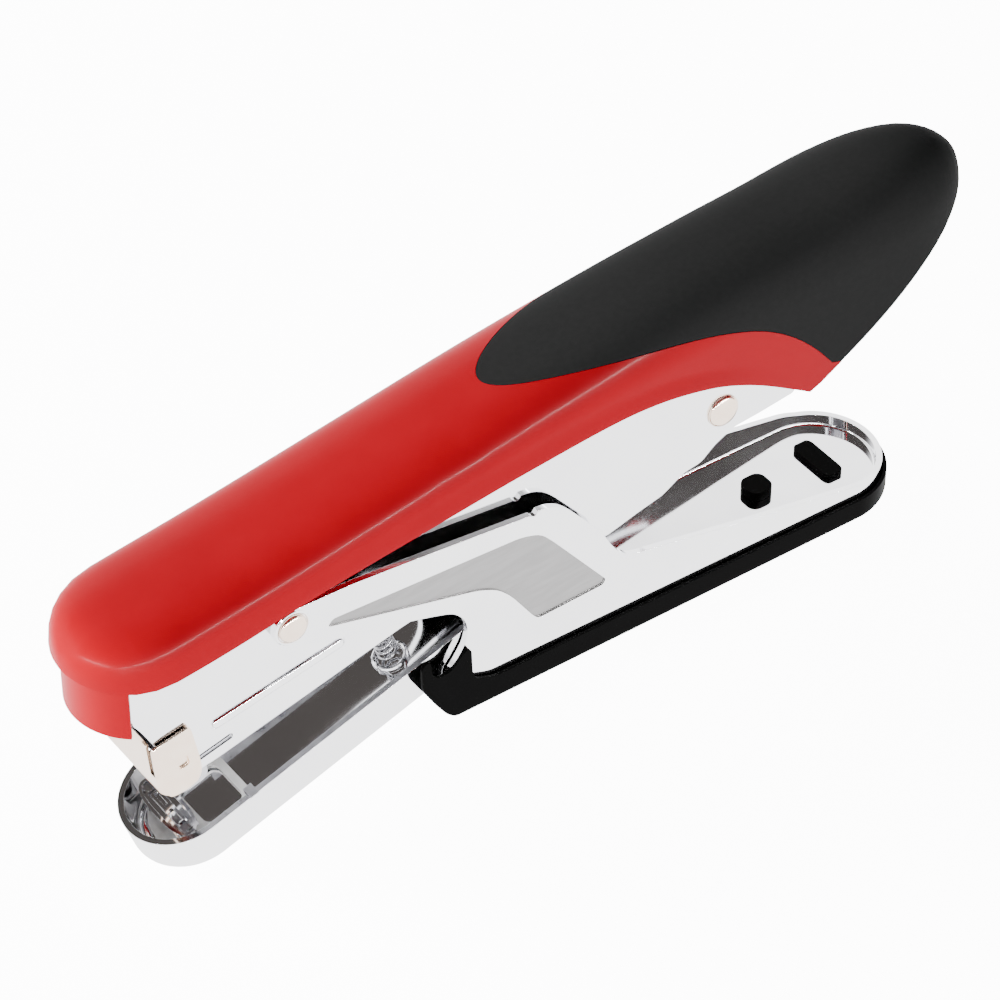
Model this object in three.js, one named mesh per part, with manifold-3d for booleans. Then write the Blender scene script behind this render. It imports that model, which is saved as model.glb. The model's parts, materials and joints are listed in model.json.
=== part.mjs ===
// Plier stapler: two hand levers joined by a front rivet, an anvil arm and a magazine on a rear rivet.
// Millimetres. X runs from the nose to the tail, Y is the width, +Z is up.
// The solids are drawn in the lower lever's own frame, where the flat sole lies at Z = 0, and the
// whole stapler is then pitched so that it stands on the anvil's tip and the sole's rear edge.
import * as THREE from 'three';
import { mergeVertices } from 'three/addons/utils/BufferGeometryUtils.js';
import Module from 'manifold-3d';

const wasm = await Module();
wasm.setup();

// ---- Driving dimensions ----
const GAP = 0.3;                       // free space between neighbouring pieces
const FRONT_PIVOT = [25.1, 36.1];      // rivet that joins the two levers (X, Z)
const REAR_PIVOT = [112.1, 36.1];      // rivet that carries the anvil arm and the magazine (X, Z)
const RIVET_RADIUS = 1.8;
const HOLE_RADIUS = RIVET_RADIUS + GAP;
const PITCH_DEG = 3.95;                // nose-up turn that puts anvil tip and sole edge on the table
const TAIL_CENTRE_X = 140.5;           // centre of the round tail of the lower lever

// Half widths of the nested sheet pieces, from the inside out
const MAGAZINE = { inner: 6.5, outer: 7.0 };
const FRAME = { inner: 7.3, outer: 8.0 };
const NOSE = { inner: 8.3, outer: 8.8 };
const ANVIL = { inner: 9.2, outer: 10.3 };
const HANDLE = { inner: 10.6, outer: 11.7 };
const SOLE = { inner: 12.0, outer: 12.6 };
const COVER = { inner: 12.0, outer: 13.0 };

// Anvil arm: start of its underside, slope, wall height and floor thickness
const ANVIL_START = [2.15, -10.8];
const ANVIL_TILT_DEG = 18.6;
const ANVIL_WALL = 8.0;
const ANVIL_FLOOR = 1.1;

// Magazine: start of its underside and slope
const MAGAZINE_START = [1.9, 6.8];
const MAGAZINE_TILT_DEG = 14.3;
const RAIL_HALF_WIDTH = 5.5;
const STAPLE_HALF_WIDTH = 6.2;
const MAGAZINE_FLOOR = 2.7;            // height of the channel's underside above the foot
const STRIP_LENGTH = 40;
const RAIL_START = 4.2;
const RAIL_END = 89.5;
const BRACKET_START = 90.5;            // rear spring anchor, along the magazine

// Rise and pull-in of a rounded lower edge, as shares of its radius
const FOOT_SLICES = [[0, 1], [0.25, 0.42], [0.6, 0.12], [1, 0]];

// ---- Solids from three.js geometry ----
function toSolid(geometry) {
  const source = geometry.clone();
  source.deleteAttribute('normal');
  source.deleteAttribute('uv');
  const merged = mergeVertices(source, 1e-4);
  return new wasm.Manifold(new wasm.Mesh({
    numProp: 3,
    vertProperties: new Float32Array(merged.attributes.position.array),
    triVerts: new Uint32Array(merged.index.array),
  }));
}

function toGeometry(solid) {
  const mesh = solid.getMesh();
  const geometry = new THREE.BufferGeometry();
  geometry.setAttribute('position', new THREE.BufferAttribute(new Float32Array(mesh.vertProperties), 3));
  geometry.setIndex(new THREE.BufferAttribute(new Uint32Array(mesh.triVerts), 1));
  geometry.computeVertexNormals();
  return geometry;
}

function shapeOf(points) {
  return new THREE.Shape(points.map(([x, y]) => new THREE.Vector2(x, y)));
}

// Prism with an outline in X and Z, from yLow to yHigh
function sidePrism(points, yLow, yHigh) {
  const geometry = new THREE.ExtrudeGeometry(shapeOf(points), { depth: yHigh - yLow, bevelEnabled: false });
  geometry.rotateX(Math.PI / 2);
  geometry.translate(0, yHigh, 0);
  return toSolid(geometry);
}

// Prism with an outline in X and Y, from zLow to zHigh
function planPrism(points, zLow, zHigh) {
  const geometry = new THREE.ExtrudeGeometry(shapeOf(points), { depth: zHigh - zLow, bevelEnabled: false });
  geometry.translate(0, 0, zLow);
  return toSolid(geometry);
}

function box(xLow, xHigh, yLow, yHigh, zLow, zHigh) {
  const geometry = new THREE.BoxGeometry(xHigh - xLow, yHigh - yLow, zHigh - zLow);
  geometry.translate((xLow + xHigh) / 2, (yLow + yHigh) / 2, (zLow + zHigh) / 2);
  return toSolid(geometry);
}

// Cylinder across the width, centred on (x, z)
function crossPin([x, z], radius, yLow, yHigh, sides = 24) {
  const geometry = new THREE.CylinderGeometry(radius, radius, yHigh - yLow, sides);
  geometry.translate(x, (yLow + yHigh) / 2, z);
  return toSolid(geometry);
}

// Points on an arc, angles in degrees
function arc([cx, cy], radius, fromDeg, toDeg, steps) {
  return Array.from({ length: steps + 1 }, (_, i) => {
    const angle = THREE.MathUtils.degToRad(fromDeg + (toDeg - fromDeg) * i / steps);
    return [cx + radius * Math.cos(angle), cy + radius * Math.sin(angle)];
  });
}

// Long slot or bead outline with round ends between two points
function capsule([ax, ay], [bx, by], radius, steps = 6) {
  const heading = THREE.MathUtils.radToDeg(Math.atan2(by - ay, bx - ax));
  return [
    ...arc([bx, by], radius, heading - 90, heading + 90, steps),
    ...arc([ax, ay], radius, heading + 90, heading + 270, steps),
  ];
}

// Square outline with rounded corners, centred on (centreX, 0)
function roundedSquare(centreX, half, radius) {
  const corner = half - radius;
  return [[1, 1], [-1, 1], [-1, -1], [1, -1]].flatMap(([sx, sy], quarter) => arc(
    [centreX + sx * corner, sy * corner], radius, 90 * quarter, 90 * quarter + 90, 4,
  ));
}

// Outline of a channel in plan: straight sides and a round end towards +X
function roundTail(xStart, halfWidth, centreX) {
  return [[xStart, -halfWidth], ...arc([centreX, 0], halfWidth, -90, 90, 16), [xStart, halfWidth]];
}

// Coil spring along +Z from z = 0, with closed square-cut wire
function coil(radius, wire, length, turns, stepsPerTurn = 8) {
  const points = [];
  const steps = turns * stepsPerTurn;
  for (let i = 0; i <= steps; i += 1) {
    const angle = 2 * Math.PI * i / stepsPerTurn;
    points.push(new THREE.Vector3(radius * Math.cos(angle), radius * Math.sin(angle), length * i / steps));
  }
  const section = new THREE.Shape(arc([0, 0], wire / 2, 0, 300, 5).map(([x, y]) => new THREE.Vector2(x, y)));
  return new THREE.ExtrudeGeometry(section, {
    extrudePath: new THREE.CatmullRomCurve3(points), steps, bevelEnabled: false,
  });
}

// ---- Finishes ----
const CHROME = { color: 0xe4e4e6, roughness: 0.08, metalness: 1.0 };
const NICKEL = { color: 0xe4dcd2, roughness: 0.28, metalness: 1.0 };
const STEEL = { color: 0xb4b4b8, roughness: 0.32, metalness: 1.0 };
const SPRING_STEEL = { color: 0x8d8d92, roughness: 0.3, metalness: 1.0 };
const RED_PAINT = { color: 0xd0262a, roughness: 0.3, metalness: 0.0 };
const SOFT_BLACK = { color: 0x2c2c2d, roughness: 0.75, metalness: 0.0 };
const BLACK_PLASTIC = { color: 0x141414, roughness: 0.45, metalness: 0.0 };

const stapler = new THREE.Group();
const anvilGroup = new THREE.Group();
anvilGroup.position.set(ANVIL_START[0], 0, ANVIL_START[1]);
anvilGroup.rotation.y = -THREE.MathUtils.degToRad(ANVIL_TILT_DEG);
const magazineGroup = new THREE.Group();
magazineGroup.position.set(MAGAZINE_START[0], 0, MAGAZINE_START[1]);
magazineGroup.rotation.y = -THREE.MathUtils.degToRad(MAGAZINE_TILT_DEG);
stapler.add(anvilGroup, magazineGroup);

function addPiece(name, shape, finish, group = stapler) {
  const geometry = shape.isBufferGeometry ? shape : toGeometry(shape);
  const mesh = new THREE.Mesh(geometry, new THREE.MeshStandardMaterial(finish));
  mesh.name = name;
  group.add(mesh);
  return mesh;
}

// Place of a point of the lower lever's frame inside a tilted group, as [along, up]
function inGroup([x, z], [startX, startZ], tiltDeg) {
  const tilt = THREE.MathUtils.degToRad(tiltDeg);
  const dx = x - startX;
  const dz = z - startZ;
  return [dx * Math.cos(tilt) + dz * Math.sin(tilt), dz * Math.cos(tilt) - dx * Math.sin(tilt)];
}

// ---- Lower lever ----
const HANDLE_FLOOR_LOW = 3.3;
const HANDLE_FLOOR_TOP = 4.4;
const BOSS_RADIUS = 3.4;
// Front of the floor, curled up under the anvil arm: it lifts the arm when the levers close
const LIFTING_EDGE = [
  [62, HANDLE_FLOOR_LOW], [62, HANDLE_FLOOR_TOP], [58.6, HANDLE_FLOOR_TOP], [57.0, 6.7], [55.6, 6.6], [56.4, HANDLE_FLOOR_LOW],
];
const PEG_X = 127.6;                   // staked peg of the sole, ahead of the staked bar
const PEG = { shank: 1.4, head: 2.4, rise: 1.5 };
const BAR_X = 141.2;
const BAR = { halfLength: 5.0, halfWidth: 1.9, shank: 1.1, rise: 0.6 };

const handleOutline = [
  ...arc(FRONT_PIVOT, BOSS_RADIUS, 250, 90, 12),
  [36.7, 39.2], [53.4, 37.7], [70.5, 35.9], [75.0, 35.5],
  [77.3, 34.4], [79.3, 32.3], [85.5, 24.9], [87.2, 21.6],
  [89.2, 18.8], [91.8, 17.0], [115.5, 11.9], [144.7, 6.6], [153, 6.6],
  [153, HANDLE_FLOOR_LOW], [56.3, HANDLE_FLOOR_LOW],
  [54.3, 7.5], [54.7, 10.2], [56.2, 12.3], [57.8, 14.9], [58.4, 17.5], [58.0, 19.7],
  [56.8, 21.6], [55.0, 23.0], [51.4, 24.3], [43.0, 26.8], [38.6, 28.1], [31.8, 29.6],
];

// Pressed recess on each wall, a long pointed blade that widens to a slanted block
const panelOutline = [
  [33.1, 32.9], [34.4, 34.2], [69.2, 32.2], [73.0, 30.9], [75.3, 28.3], [86.4, 14.2],
  [85.8, 13.3], [72.6, 12.8], [71.4, 14.2], [67.1, 20.6], [64.4, 23.4], [60.6, 25.2],
];
const PANEL_DEPTH = 0.3;

function lowerHandle() {
  const { inner, outer } = HANDLE;
  const innerTail = TAIL_CENTRE_X;
  const hollow = planPrism(roundTail(15, inner, innerTail), HANDLE_FLOOR_TOP, 60)
    .add(box(15, 56.6, -inner, inner, 0, 60));
  const liftingEdge = sidePrism(LIFTING_EDGE, -inner - 0.2, inner + 0.2);
  let solid = sidePrism(handleOutline, -outer, outer)
    .intersect(planPrism(roundTail(15, outer, TAIL_CENTRE_X), 0, 60))
    .subtract(hollow)
    .add(liftingEdge)
    .subtract(crossPin(FRONT_PIVOT, HOLE_RADIUS, -20, 20));
  solid = solid
    .subtract(planPrism(roundedSquare(PEG_X, PEG.shank + GAP, 1.2), 0, 6))
    .subtract(box(BAR_X - BAR.shank - GAP, BAR_X + BAR.shank + GAP, -4.3, 4.3, 0, 6));
  for (const side of [-1, 1]) {
    const near = side * (outer - PANEL_DEPTH);
    const far = side * (outer + 1);
    solid = solid.subtract(sidePrism(panelOutline, Math.min(near, far), Math.max(near, far)));
  }
  return solid;
}
addPiece('lower_handle', lowerHandle(), CHROME);

const soleOutline = [
  [57.8, 0], [55.4, 0.9], [53.8, 2.2], [51.5, 5.5], [48.9, 9.8], [48.8, 14.6], [49.5, 15.5],
  [50.5, 15.6], [50.9, 12.2], [52.0, 11.2], [54.6, 11.3], [57.0, 13.9], [57.9, 14.4],
  [58.6, 13.7], [58.8, 8.6], [59.6, 6.9], [63.3, 5.5], [143.5, 4.7], [154, 4.7], [154, 0.7], [153, 0],
];

const SOLE_ROUND = 1.3;                // rounded lower edge

function soleTray() {
  const { inner, outer } = SOLE;
  const base = HANDLE_FLOOR_LOW - GAP;
  const body = roundedFoot((inset) => roundTail(48, outer - inset, TAIL_CENTRE_X), 0, 30, SOLE_ROUND);
  const pocket = planPrism(roundTail(40, inner, TAIL_CENTRE_X), base, 30);
  const head = HANDLE_FLOOR_TOP + GAP;
  const [reach, half] = [BAR.halfLength, BAR.halfWidth];
  const barPlan = [[-1, -0.85], [-0.7, -1], [0.7, -1], [1, -0.85], [1, 0.85], [0.7, 1], [-0.7, 1], [-1, 0.85]]
    .map(([x, y]) => [BAR_X + x * half, y * reach]);
  return sidePrism(soleOutline, -outer, outer)
    .intersect(body)
    .subtract(pocket)
    .add(planPrism(roundedSquare(PEG_X, PEG.shank, 0.9), base - 0.5, HANDLE_FLOOR_TOP + 1))
    .add(planPrism(roundedSquare(PEG_X, PEG.head, 1.6), head, head + PEG.rise))
    .add(box(BAR_X - BAR.shank, BAR_X + BAR.shank, -4, 4, base - 0.5, head + 0.2))
    .add(planPrism(barPlan, head, head + BAR.rise));
}
addPiece('sole_tray', soleTray(), BLACK_PLASTIC);

// Solid rivet across the width with a low domed head at each end
function rivet([x, z], headRadius, faceY, headHeight) {
  const profile = [
    [0, -faceY - headHeight], [headRadius * 0.7, -faceY - headHeight], [headRadius, -faceY - headHeight * 0.45],
    [headRadius, -faceY], [RIVET_RADIUS, -faceY], [RIVET_RADIUS, faceY], [headRadius, faceY],
    [headRadius, faceY + headHeight * 0.45], [headRadius * 0.7, faceY + headHeight], [0, faceY + headHeight],
  ].map(([r, y]) => new THREE.Vector2(r, y));
  return new THREE.LatheGeometry(profile, 24).translate(x, 0, z);
}
addPiece('front_rivet', rivet(FRONT_PIVOT, 2.6, HANDLE.outer + GAP, 0.9), NICKEL);

function washer([x, z], inner, outer, yLow, yHigh) {
  const profile = [[inner, yLow], [outer, yLow], [outer, yHigh], [inner, yHigh], [inner, yLow]]
    .map(([r, y]) => new THREE.Vector2(r, y));
  return new THREE.LatheGeometry(profile, 24).translate(x, 0, z);
}
addPiece('pivot_washer_near', washer(FRONT_PIVOT, HOLE_RADIUS, 3.2, -HANDLE.inner + GAP, -FRAME.outer - GAP), STEEL);
addPiece('pivot_washer_far', washer(FRONT_PIVOT, HOLE_RADIUS, 3.2, FRAME.outer + GAP, HANDLE.inner - GAP), STEEL);

// ---- Upper lever: frame, cover, grip, driver ----
const FRAME_ROOF = [[127.5, 52.0], [-2.4, 40.6]];
const FRAME_SHEET = 0.8;
const frameOutline = [
  [-2.4, 27.2], [-1.5, 26.0], [1.7, 20.2], [2.0, 18.2], [7.5, 18.2], [7.5, 11.5], [8.9, 11.5], [12.5, 12.1],
  [47.9, 21.1], [60, 23.4], [65, 24.4], [67, 28.0], [76.2, 28.0], [76.8, 20.4], [88.8, 20.6], [95, 22.4], [100, 23.6],
  [104.4, 26.3], [108, 26.9], [110.7, 29.2], [114.6, 31.2], [120, 31.7], [127.5, 32.7], ...FRAME_ROOF,
];
const BEAD = [[12.6, 19.6], [36.0, 24.2]];
const BEAD_RADIUS = 0.85;
const BEAD_PROUD = 0.45;
const SLIT = [[8.6, 13.8], [14.9, 15.4]];
// Raised land of each side plate, above and behind the lower lever's arm
const LAND_RISE = 0.8;
const landOutline = [[29, 36], [31, 34], [72, 27], [74, 15], [130, 15], [130, 60], [29, 60]];

function upperFrame() {
  const { inner, outer } = FRAME;
  const roof = FRAME_ROOF.map(([x, z]) => [x, z - FRAME_SHEET]);
  const hollow = sidePrism(
    [[-10, 5], [140, 5], [140, roof[0][1] + 1.1], [-10, roof[1][1] - 0.65]], -inner, inner,
  );
  const beads = [-1, 1].map((side) => {
    const low = side < 0 ? -outer - BEAD_PROUD : outer - 0.2;
    return sidePrism(capsule(BEAD[0], BEAD[1], BEAD_RADIUS), low, low + BEAD_PROUD + 0.2);
  });
  const lands = sidePrism(landOutline, -outer - LAND_RISE, outer + LAND_RISE)
    .intersect(sidePrism(frameOutline, -20, 20));
  return sidePrism(frameOutline, -outer, outer)
    .add(lands)
    .subtract(hollow)
    .add(beads[0])
    .add(beads[1])
    .subtract(sidePrism(capsule(SLIT[0], SLIT[1], 0.6, 4), -20, 20))
    .subtract(crossPin(FRONT_PIVOT, HOLE_RADIUS, -20, 20))
    .subtract(crossPin(REAR_PIVOT, HOLE_RADIUS, -20, 20));
}
addPiece('upper_frame', upperFrame(), CHROME);

// Cover: ridge height and half width along X, and the side outline it is trimmed to
const ridgeCurve = new THREE.SplineCurve([
  [-9.85, 37.4], [-9.2, 40.6], [-6.6, 43.2], [-2, 44.7], [8, 46.3], [22, 48.4], [42, 52.0], [62, 55.7],
  [80, 59.1], [100, 62.6], [115, 64.5], [130, 66.0], [143, 67.7], [152, 68.4], [159, 67.7], [164.0, 64.9], [167.2, 60.0],
].map(([x, z]) => new THREE.Vector2(x, z)));
const COVER_FRONT = -9.85;
const COVER_TAIL = 167.2;
const COVER_NOSE_CENTRE = 3.15;
const TAPER_START = 134;

const coverOutline = [
  [-12, 37.2], [-2, 37.3], [7.5, 38.3], [14.2, 39.2], [22.3, 40.8], [30.9, 42.2], [39.5, 43.4], [48.3, 44.4],
  [57.1, 45.6], [67.8, 47.0], [81.3, 48.2], [90.5, 48.8], [97.4, 48.3], [104.3, 47.0], [109.7, 45.3],
  [115.0, 42.9], [120.6, 39.7], [125.2, 36.6], [127.6, 35.3], [133.2, 38.6], [141.6, 43.6], [150, 48.6],
  [158, 53.2], [163, 57.0], [168, 62.0], [175, 70], [175, 80], [-12, 80],
];

function ridgeAt(x) {
  const samples = ridgeCurve.getPoints(160);
  if (x >= COVER_TAIL) return samples.at(-1).y;
  const next = Math.max(1, samples.findIndex((point) => point.x >= x));
  const [a, b] = [samples[next - 1], samples[next]];
  return a.y + (b.y - a.y) * THREE.MathUtils.clamp((x - a.x) / (b.x - a.x), 0, 1);
}

function halfWidthAt(x) {
  if (x < COVER_NOSE_CENTRE) {
    const reach = (COVER_NOSE_CENTRE - x) / (COVER_NOSE_CENTRE - COVER_FRONT);
    return COVER.outer * Math.sqrt(Math.max(0, 1 - reach * reach));
  }
  if (x > TAPER_START) {
    const reach = (x - TAPER_START) / (COVER_TAIL - TAPER_START);
    return COVER.outer * Math.pow(Math.max(0, 1 - Math.pow(reach, 2.3)), 0.55);
  }
  return COVER.outer;
}

// Cross-section of the cover at x: flat underside, upright sides, rounded shoulders, crowned top
const SECTION_STEPS = 14;
const COVER_UNDERSIDE = 24;
function coverSection(x, inset) {
  const half = Math.max(0.15, halfWidthAt(x) - inset);
  const top = ridgeAt(x) - inset;
  const shoulder = Math.min(top - COVER_UNDERSIDE - 1, 7.5 + 0.03 * Math.max(0, x - 20));
  const points = [new THREE.Vector3(x, -half, COVER_UNDERSIDE)];
  for (let i = 0; i <= SECTION_STEPS; i += 1) {
    const angle = Math.PI * (1 - i / SECTION_STEPS);
    const across = Math.sign(Math.cos(angle)) * Math.pow(Math.abs(Math.cos(angle)), 0.8);
    const up = Math.pow(Math.sin(angle), 0.72);
    points.push(new THREE.Vector3(x, half * across, top - shoulder + shoulder * up));
  }
  points.push(new THREE.Vector3(x, half, COVER_UNDERSIDE));
  return points;
}

// Closed solid through a row of outlines with equal point counts
function loft(sections) {
  const count = sections[0].length;
  const positions = sections.flat();
  const faces = [];
  for (let s = 0; s + 1 < sections.length; s += 1) {
    for (let i = 0; i < count; i += 1) {
      const a = s * count + i;
      const b = s * count + (i + 1) % count;
      faces.push([a, b, b + count], [a, b + count, a + count]);
    }
  }
  const last = (sections.length - 1) * count;
  for (let i = 1; i + 1 < count; i += 1) {
    faces.push([0, i + 1, i], [last, last + i, last + i + 1]);
  }
  const geometry = new THREE.BufferGeometry().setFromPoints(positions);
  geometry.setIndex(faces.flat());
  const solid = toSolid(geometry);
  return solid.volume() > 0 ? solid : toSolid(flipped(geometry));
}

// Upright prism whose lower edge is rounded; planOf(inset) gives its outline pulled in by inset
function roundedFoot(planOf, low, high, round) {
  let solid = planPrism(planOf(0), low + round, high);
  for (let i = 0; i + 1 < FOOT_SLICES.length; i += 1) {
    const slices = [FOOT_SLICES[i], FOOT_SLICES[i + 1]].map(([rise, inset]) => planOf(inset * round).map(
      ([x, y]) => new THREE.Vector3(x, y, low + rise * round),
    ));
    solid = solid.add(loft(slices));
  }
  return solid;
}

function flipped(geometry) {
  const copy = geometry.clone();
  const index = Array.from(copy.index.array);
  for (let i = 0; i < index.length; i += 3) {
    [index[i + 1], index[i + 2]] = [index[i + 2], index[i + 1]];
  }
  copy.setIndex(index);
  return copy;
}

function coverSolid(inset) {
  const from = COVER_FRONT + inset;
  const to = COVER_TAIL - inset;
  const stations = [0, 0.5, 1.6, 3.4, 6, 9, 13].map((step) => from + step);
  for (let x = 22; x < 130; x += 12) stations.push(x);
  for (const left of [36, 29, 22, 16, 11, 7, 4, 1.8, 0.5, 0]) stations.push(to - left);
  return loft(stations.map((x) => coverSection(x, inset)));
}

// Grip: a tongue in plan whose sides run down the cover, and its lower line in side view
const gripTongue = [[96, 20], [91, 12.0], [82, 9.6], [75, 7.2], [70.4, 4.4], [68.4, 1.4]];
const gripLowerLine = [
  [60, 50], [88, 56.4], [98, 55.2], [105.5, 54.4], [112.5, 52.7], [118.2, 50.4], [124.9, 46.1],
  [130.5, 41.2], [133.4, 38.8], [142, 30], [185, 30],
];
const GRIP_THICK = 1.0;
const COVER_WALL = 1.0;
const STEP_WALL = 0.8;                 // cover wall left behind the grip

// Region taken by the grip, widened by a margin
function gripRegion(margin) {
  const tongue = gripTongue.map(([x, y]) => [x - margin, y + margin * 0.7]);
  const plan = [[180, 30], ...tongue, ...tongue.map(([x, y]) => [x, -y]).reverse(), [180, -30]];
  const line = [...gripLowerLine.map(([x, z]) => [x - margin * 0.5, z - margin]), [190, 30], [190, 90], [50, 90]];
  return planPrism(plan, 20, 90).intersect(sidePrism(line, -20, 20));
}

const outerCover = coverSolid(0);
const coverTrim = sidePrism(coverOutline, -20, 20);

function softGrip() {
  return outerCover.subtract(coverSolid(GRIP_THICK)).intersect(coverTrim).intersect(gripRegion(0));
}

const SKIRT = { centreX: 3.9, outer: 12.2, inner: 11.5, low: 26.4, halfAngle: 52 };
function skirt() {
  const { centreX, outer, inner, low, halfAngle } = SKIRT;
  const ring = (reach) => [
    ...arc([centreX, 0], reach, 180 - halfAngle, 180 + halfAngle, 20),
    ...arc([centreX, 0], inner, 180 + halfAngle, 180 - halfAngle, 20),
  ];
  return planPrism(ring(outer), low, 39).add(planPrism(ring(13.1), 37.6, 39));
}

function topCover() {
  const stepInset = GRIP_THICK + GAP;
  const recess = coverSolid(-1).subtract(coverSolid(stepInset)).intersect(gripRegion(GAP));
  const cavity = coverSolid(COVER_WALL).subtract(gripRegion(2.5)).add(coverSolid(stepInset + STEP_WALL));
  return outerCover
    .subtract(recess)
    .subtract(cavity)
    .intersect(coverTrim)
    .add(skirt());
}
addPiece('top_cover', topCover(), RED_PAINT);
addPiece('soft_grip', softGrip(), SOFT_BLACK);
addPiece('rear_rivet', rivet(REAR_PIVOT, 3.0, FRAME.outer + LAND_RISE + GAP, 0.9), NICKEL);

// Driver blade: hangs from the frame in the slot between the nose plate and the rail
const DRIVER = { along: [3.3, 3.8], halfWidth: 6.1, up: [11.4, 31.5] };
addPiece('driver_blade', box(
  DRIVER.along[0], DRIVER.along[1], -DRIVER.halfWidth, DRIVER.halfWidth, DRIVER.up[0], DRIVER.up[1],
), STEEL, magazineGroup);

// ---- Anvil arm ----
const anvilPivot = inGroup(REAR_PIVOT, ANVIL_START, ANVIL_TILT_DEG);
const LUG_RADIUS = 4.8;
const anvilOutline = [
  [-1, 0], [67, 0], [76, 3.4], [98, 3.4], [anvilPivot[0] - 3, anvilPivot[1] - 4.6],
  ...arc(anvilPivot, LUG_RADIUS, -70, 120, 10),
  [100, 9.6], [92, ANVIL_WALL], [-1, ANVIL_WALL],
];
// Behind the lower lever's crest the arm's walls step inwards, to stand inside the frame
const TAIL_WALL = { inner: 6.0, outer: 7.0, stepStart: 72, stepEnd: 78 };
const BOTTOM_ROUND = 1.9;              // how far the floor's bend pulls in under the walls
const CUP = { along: 52, inner: 2.3, outer: 3.2, height: 0.9 };
const anvilPlan = (half, front) => [
  [130, half], ...arc([front + half, 0], half, 90, 270, 18), [130, -half],
];

// Channel body whose floor bends up into the walls
function anvilBody(half, front, low, high, round) {
  return roundedFoot((inset) => anvilPlan(half - inset, front + inset), low, high, round);
}

function tailWall(side) {
  const { inner, outer } = ANVIL;
  const tail = TAIL_WALL;
  const band = [
    [66, outer], [tail.stepStart, outer], [tail.stepEnd, tail.outer], [135, tail.outer],
    [135, tail.inner], [tail.stepEnd - 0.6, tail.inner], [tail.stepStart - 0.6, inner], [66, inner],
  ];
  return planPrism(band.map(([x, y]) => [x, side * y]), 0, 30);
}

function anvilArm() {
  const { inner, outer } = ANVIL;
  const sheet = outer - inner;
  const cup = washerUp(CUP.along, CUP.inner, CUP.outer, ANVIL_FLOOR - 0.2, ANVIL_FLOOR + CUP.height);
  return anvilBody(outer, 0, 0, 30, BOTTOM_ROUND)
    .subtract(anvilBody(inner, sheet, ANVIL_FLOOR, 31, BOTTOM_ROUND - 0.6))
    .subtract(box(67, 140, -20, 20, -1, 31))
    .add(tailWall(1))
    .add(tailWall(-1))
    .intersect(sidePrism(anvilOutline, -20, 20))
    .subtract(crossPin(anvilPivot, HOLE_RADIUS, -20, 20))
    .add(cup);
}

// Upright ring on the channel's floor
function washerUp(x, inner, outer, low, high) {
  const ring = toSolid(new THREE.CylinderGeometry(outer, outer, high - low, 20).rotateX(Math.PI / 2));
  const hole = toSolid(new THREE.CylinderGeometry(inner, inner, high - low + 1, 20).rotateX(Math.PI / 2));
  return ring.subtract(hole).translate([x, 0, (low + high) / 2]);
}
addPiece('anvil_arm', anvilArm(), CHROME, anvilGroup);

// Insert that lines the front of the arm, held by an ear bent over each wall
const INSERT = { start: 3.4, end: 20.0, low: 1.5, top: 2.1, half: 8.6 };
const EAR = { start: 18.0, end: 19.6, sheet: 0.4 };
function anvilInsert() {
  const plan = [
    [INSERT.end, -INSERT.half], [INSERT.end, INSERT.half],
    ...arc([INSERT.start + INSERT.half, 0], INSERT.half, 90, 270, 14),
  ];
  const window = capsule([13.4, -2.6], [13.4, 2.6], 2.4);
  const outside = ANVIL.outer + GAP;
  const rim = ANVIL_WALL + GAP;
  let solid = planPrism(plan, INSERT.low, INSERT.top)
    .subtract(box(11, 18.6, -5, 5, 0, 6).add(planPrism(window, 0, 6)));
  for (const side of [-1, 1]) {
    const wallSide = side * (ANVIL.inner - GAP);
    const inward = wallSide - side * 0.9;
    const outward = side * (outside + EAR.sheet);
    solid = solid
      .add(span(EAR.start, EAR.end, inward, wallSide, INSERT.top - 0.1, rim + EAR.sheet))
      .add(span(EAR.start, EAR.end, inward, outward, rim, rim + EAR.sheet))
      .add(span(EAR.start, EAR.end, side * outside, outward, rim - 1.2, rim + EAR.sheet));
  }
  return solid;
}

// Box whose two Y values may come in either order
function span(xLow, xHigh, yOne, yTwo, zLow, zHigh) {
  return box(xLow, xHigh, Math.min(yOne, yTwo), Math.max(yOne, yTwo), zLow, zHigh);
}
addPiece('anvil_insert', anvilInsert(), CHROME, anvilGroup);

// Clincher: boat-shaped block across the width with two grooves that turn the staple's legs in
const CLINCHER = { along: 7.6, halfLength: 7.4, halfWidth: 2.5, low: 2.4, top: 6.6 };
function clincherPlate() {
  const { along, halfLength, halfWidth, low, top } = CLINCHER;
  const plan = Array.from({ length: 40 }, (_, i) => {
    const angle = 2 * Math.PI * i / 40;
    const across = Math.sign(Math.cos(angle)) * Math.pow(Math.abs(Math.cos(angle)), 0.8);
    const length = Math.sign(Math.sin(angle)) * Math.pow(Math.abs(Math.sin(angle)), 0.7);
    return [along + halfWidth * across, halfLength * length];
  });
  let solid = planPrism(plan, low, top);
  for (const side of [-1, 1]) {
    const groove = sidePrism(capsule([along, top + 0.1], [along + 0.01, top + 0.1], 0.6, 5), -2.4, 2.4);
    solid = solid.subtract(groove.translate([0, side * 3.1, 0]));
  }
  return solid;
}
addPiece('clincher_plate', clincherPlate(), NICKEL, anvilGroup);

const returnSpring = addPiece('return_spring', coil(1.7, 0.5, 12.6, 7), SPRING_STEEL, anvilGroup);
returnSpring.position.set(CUP.along, 0, ANVIL_FLOOR + 0.6);

// ---- Magazine ----
const magazinePivot = inGroup(REAR_PIVOT, MAGAZINE_START, MAGAZINE_TILT_DEG);
const MAGAZINE_TOP = 12;
const BRIDGE = [58, 66];
const magazineOutline = [
  [2.7, 0.9], [3.4, -0.2], [4.6, -0.9], [8.0, -1.1], [9.0, -0.8], [9.5, 0.2], [9.8, MAGAZINE_FLOOR], [96, MAGAZINE_FLOOR],
  ...arc(magazinePivot, 3.9, -110, 100, 10),
  [98, MAGAZINE_TOP], [2.7, MAGAZINE_TOP],
];
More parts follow.
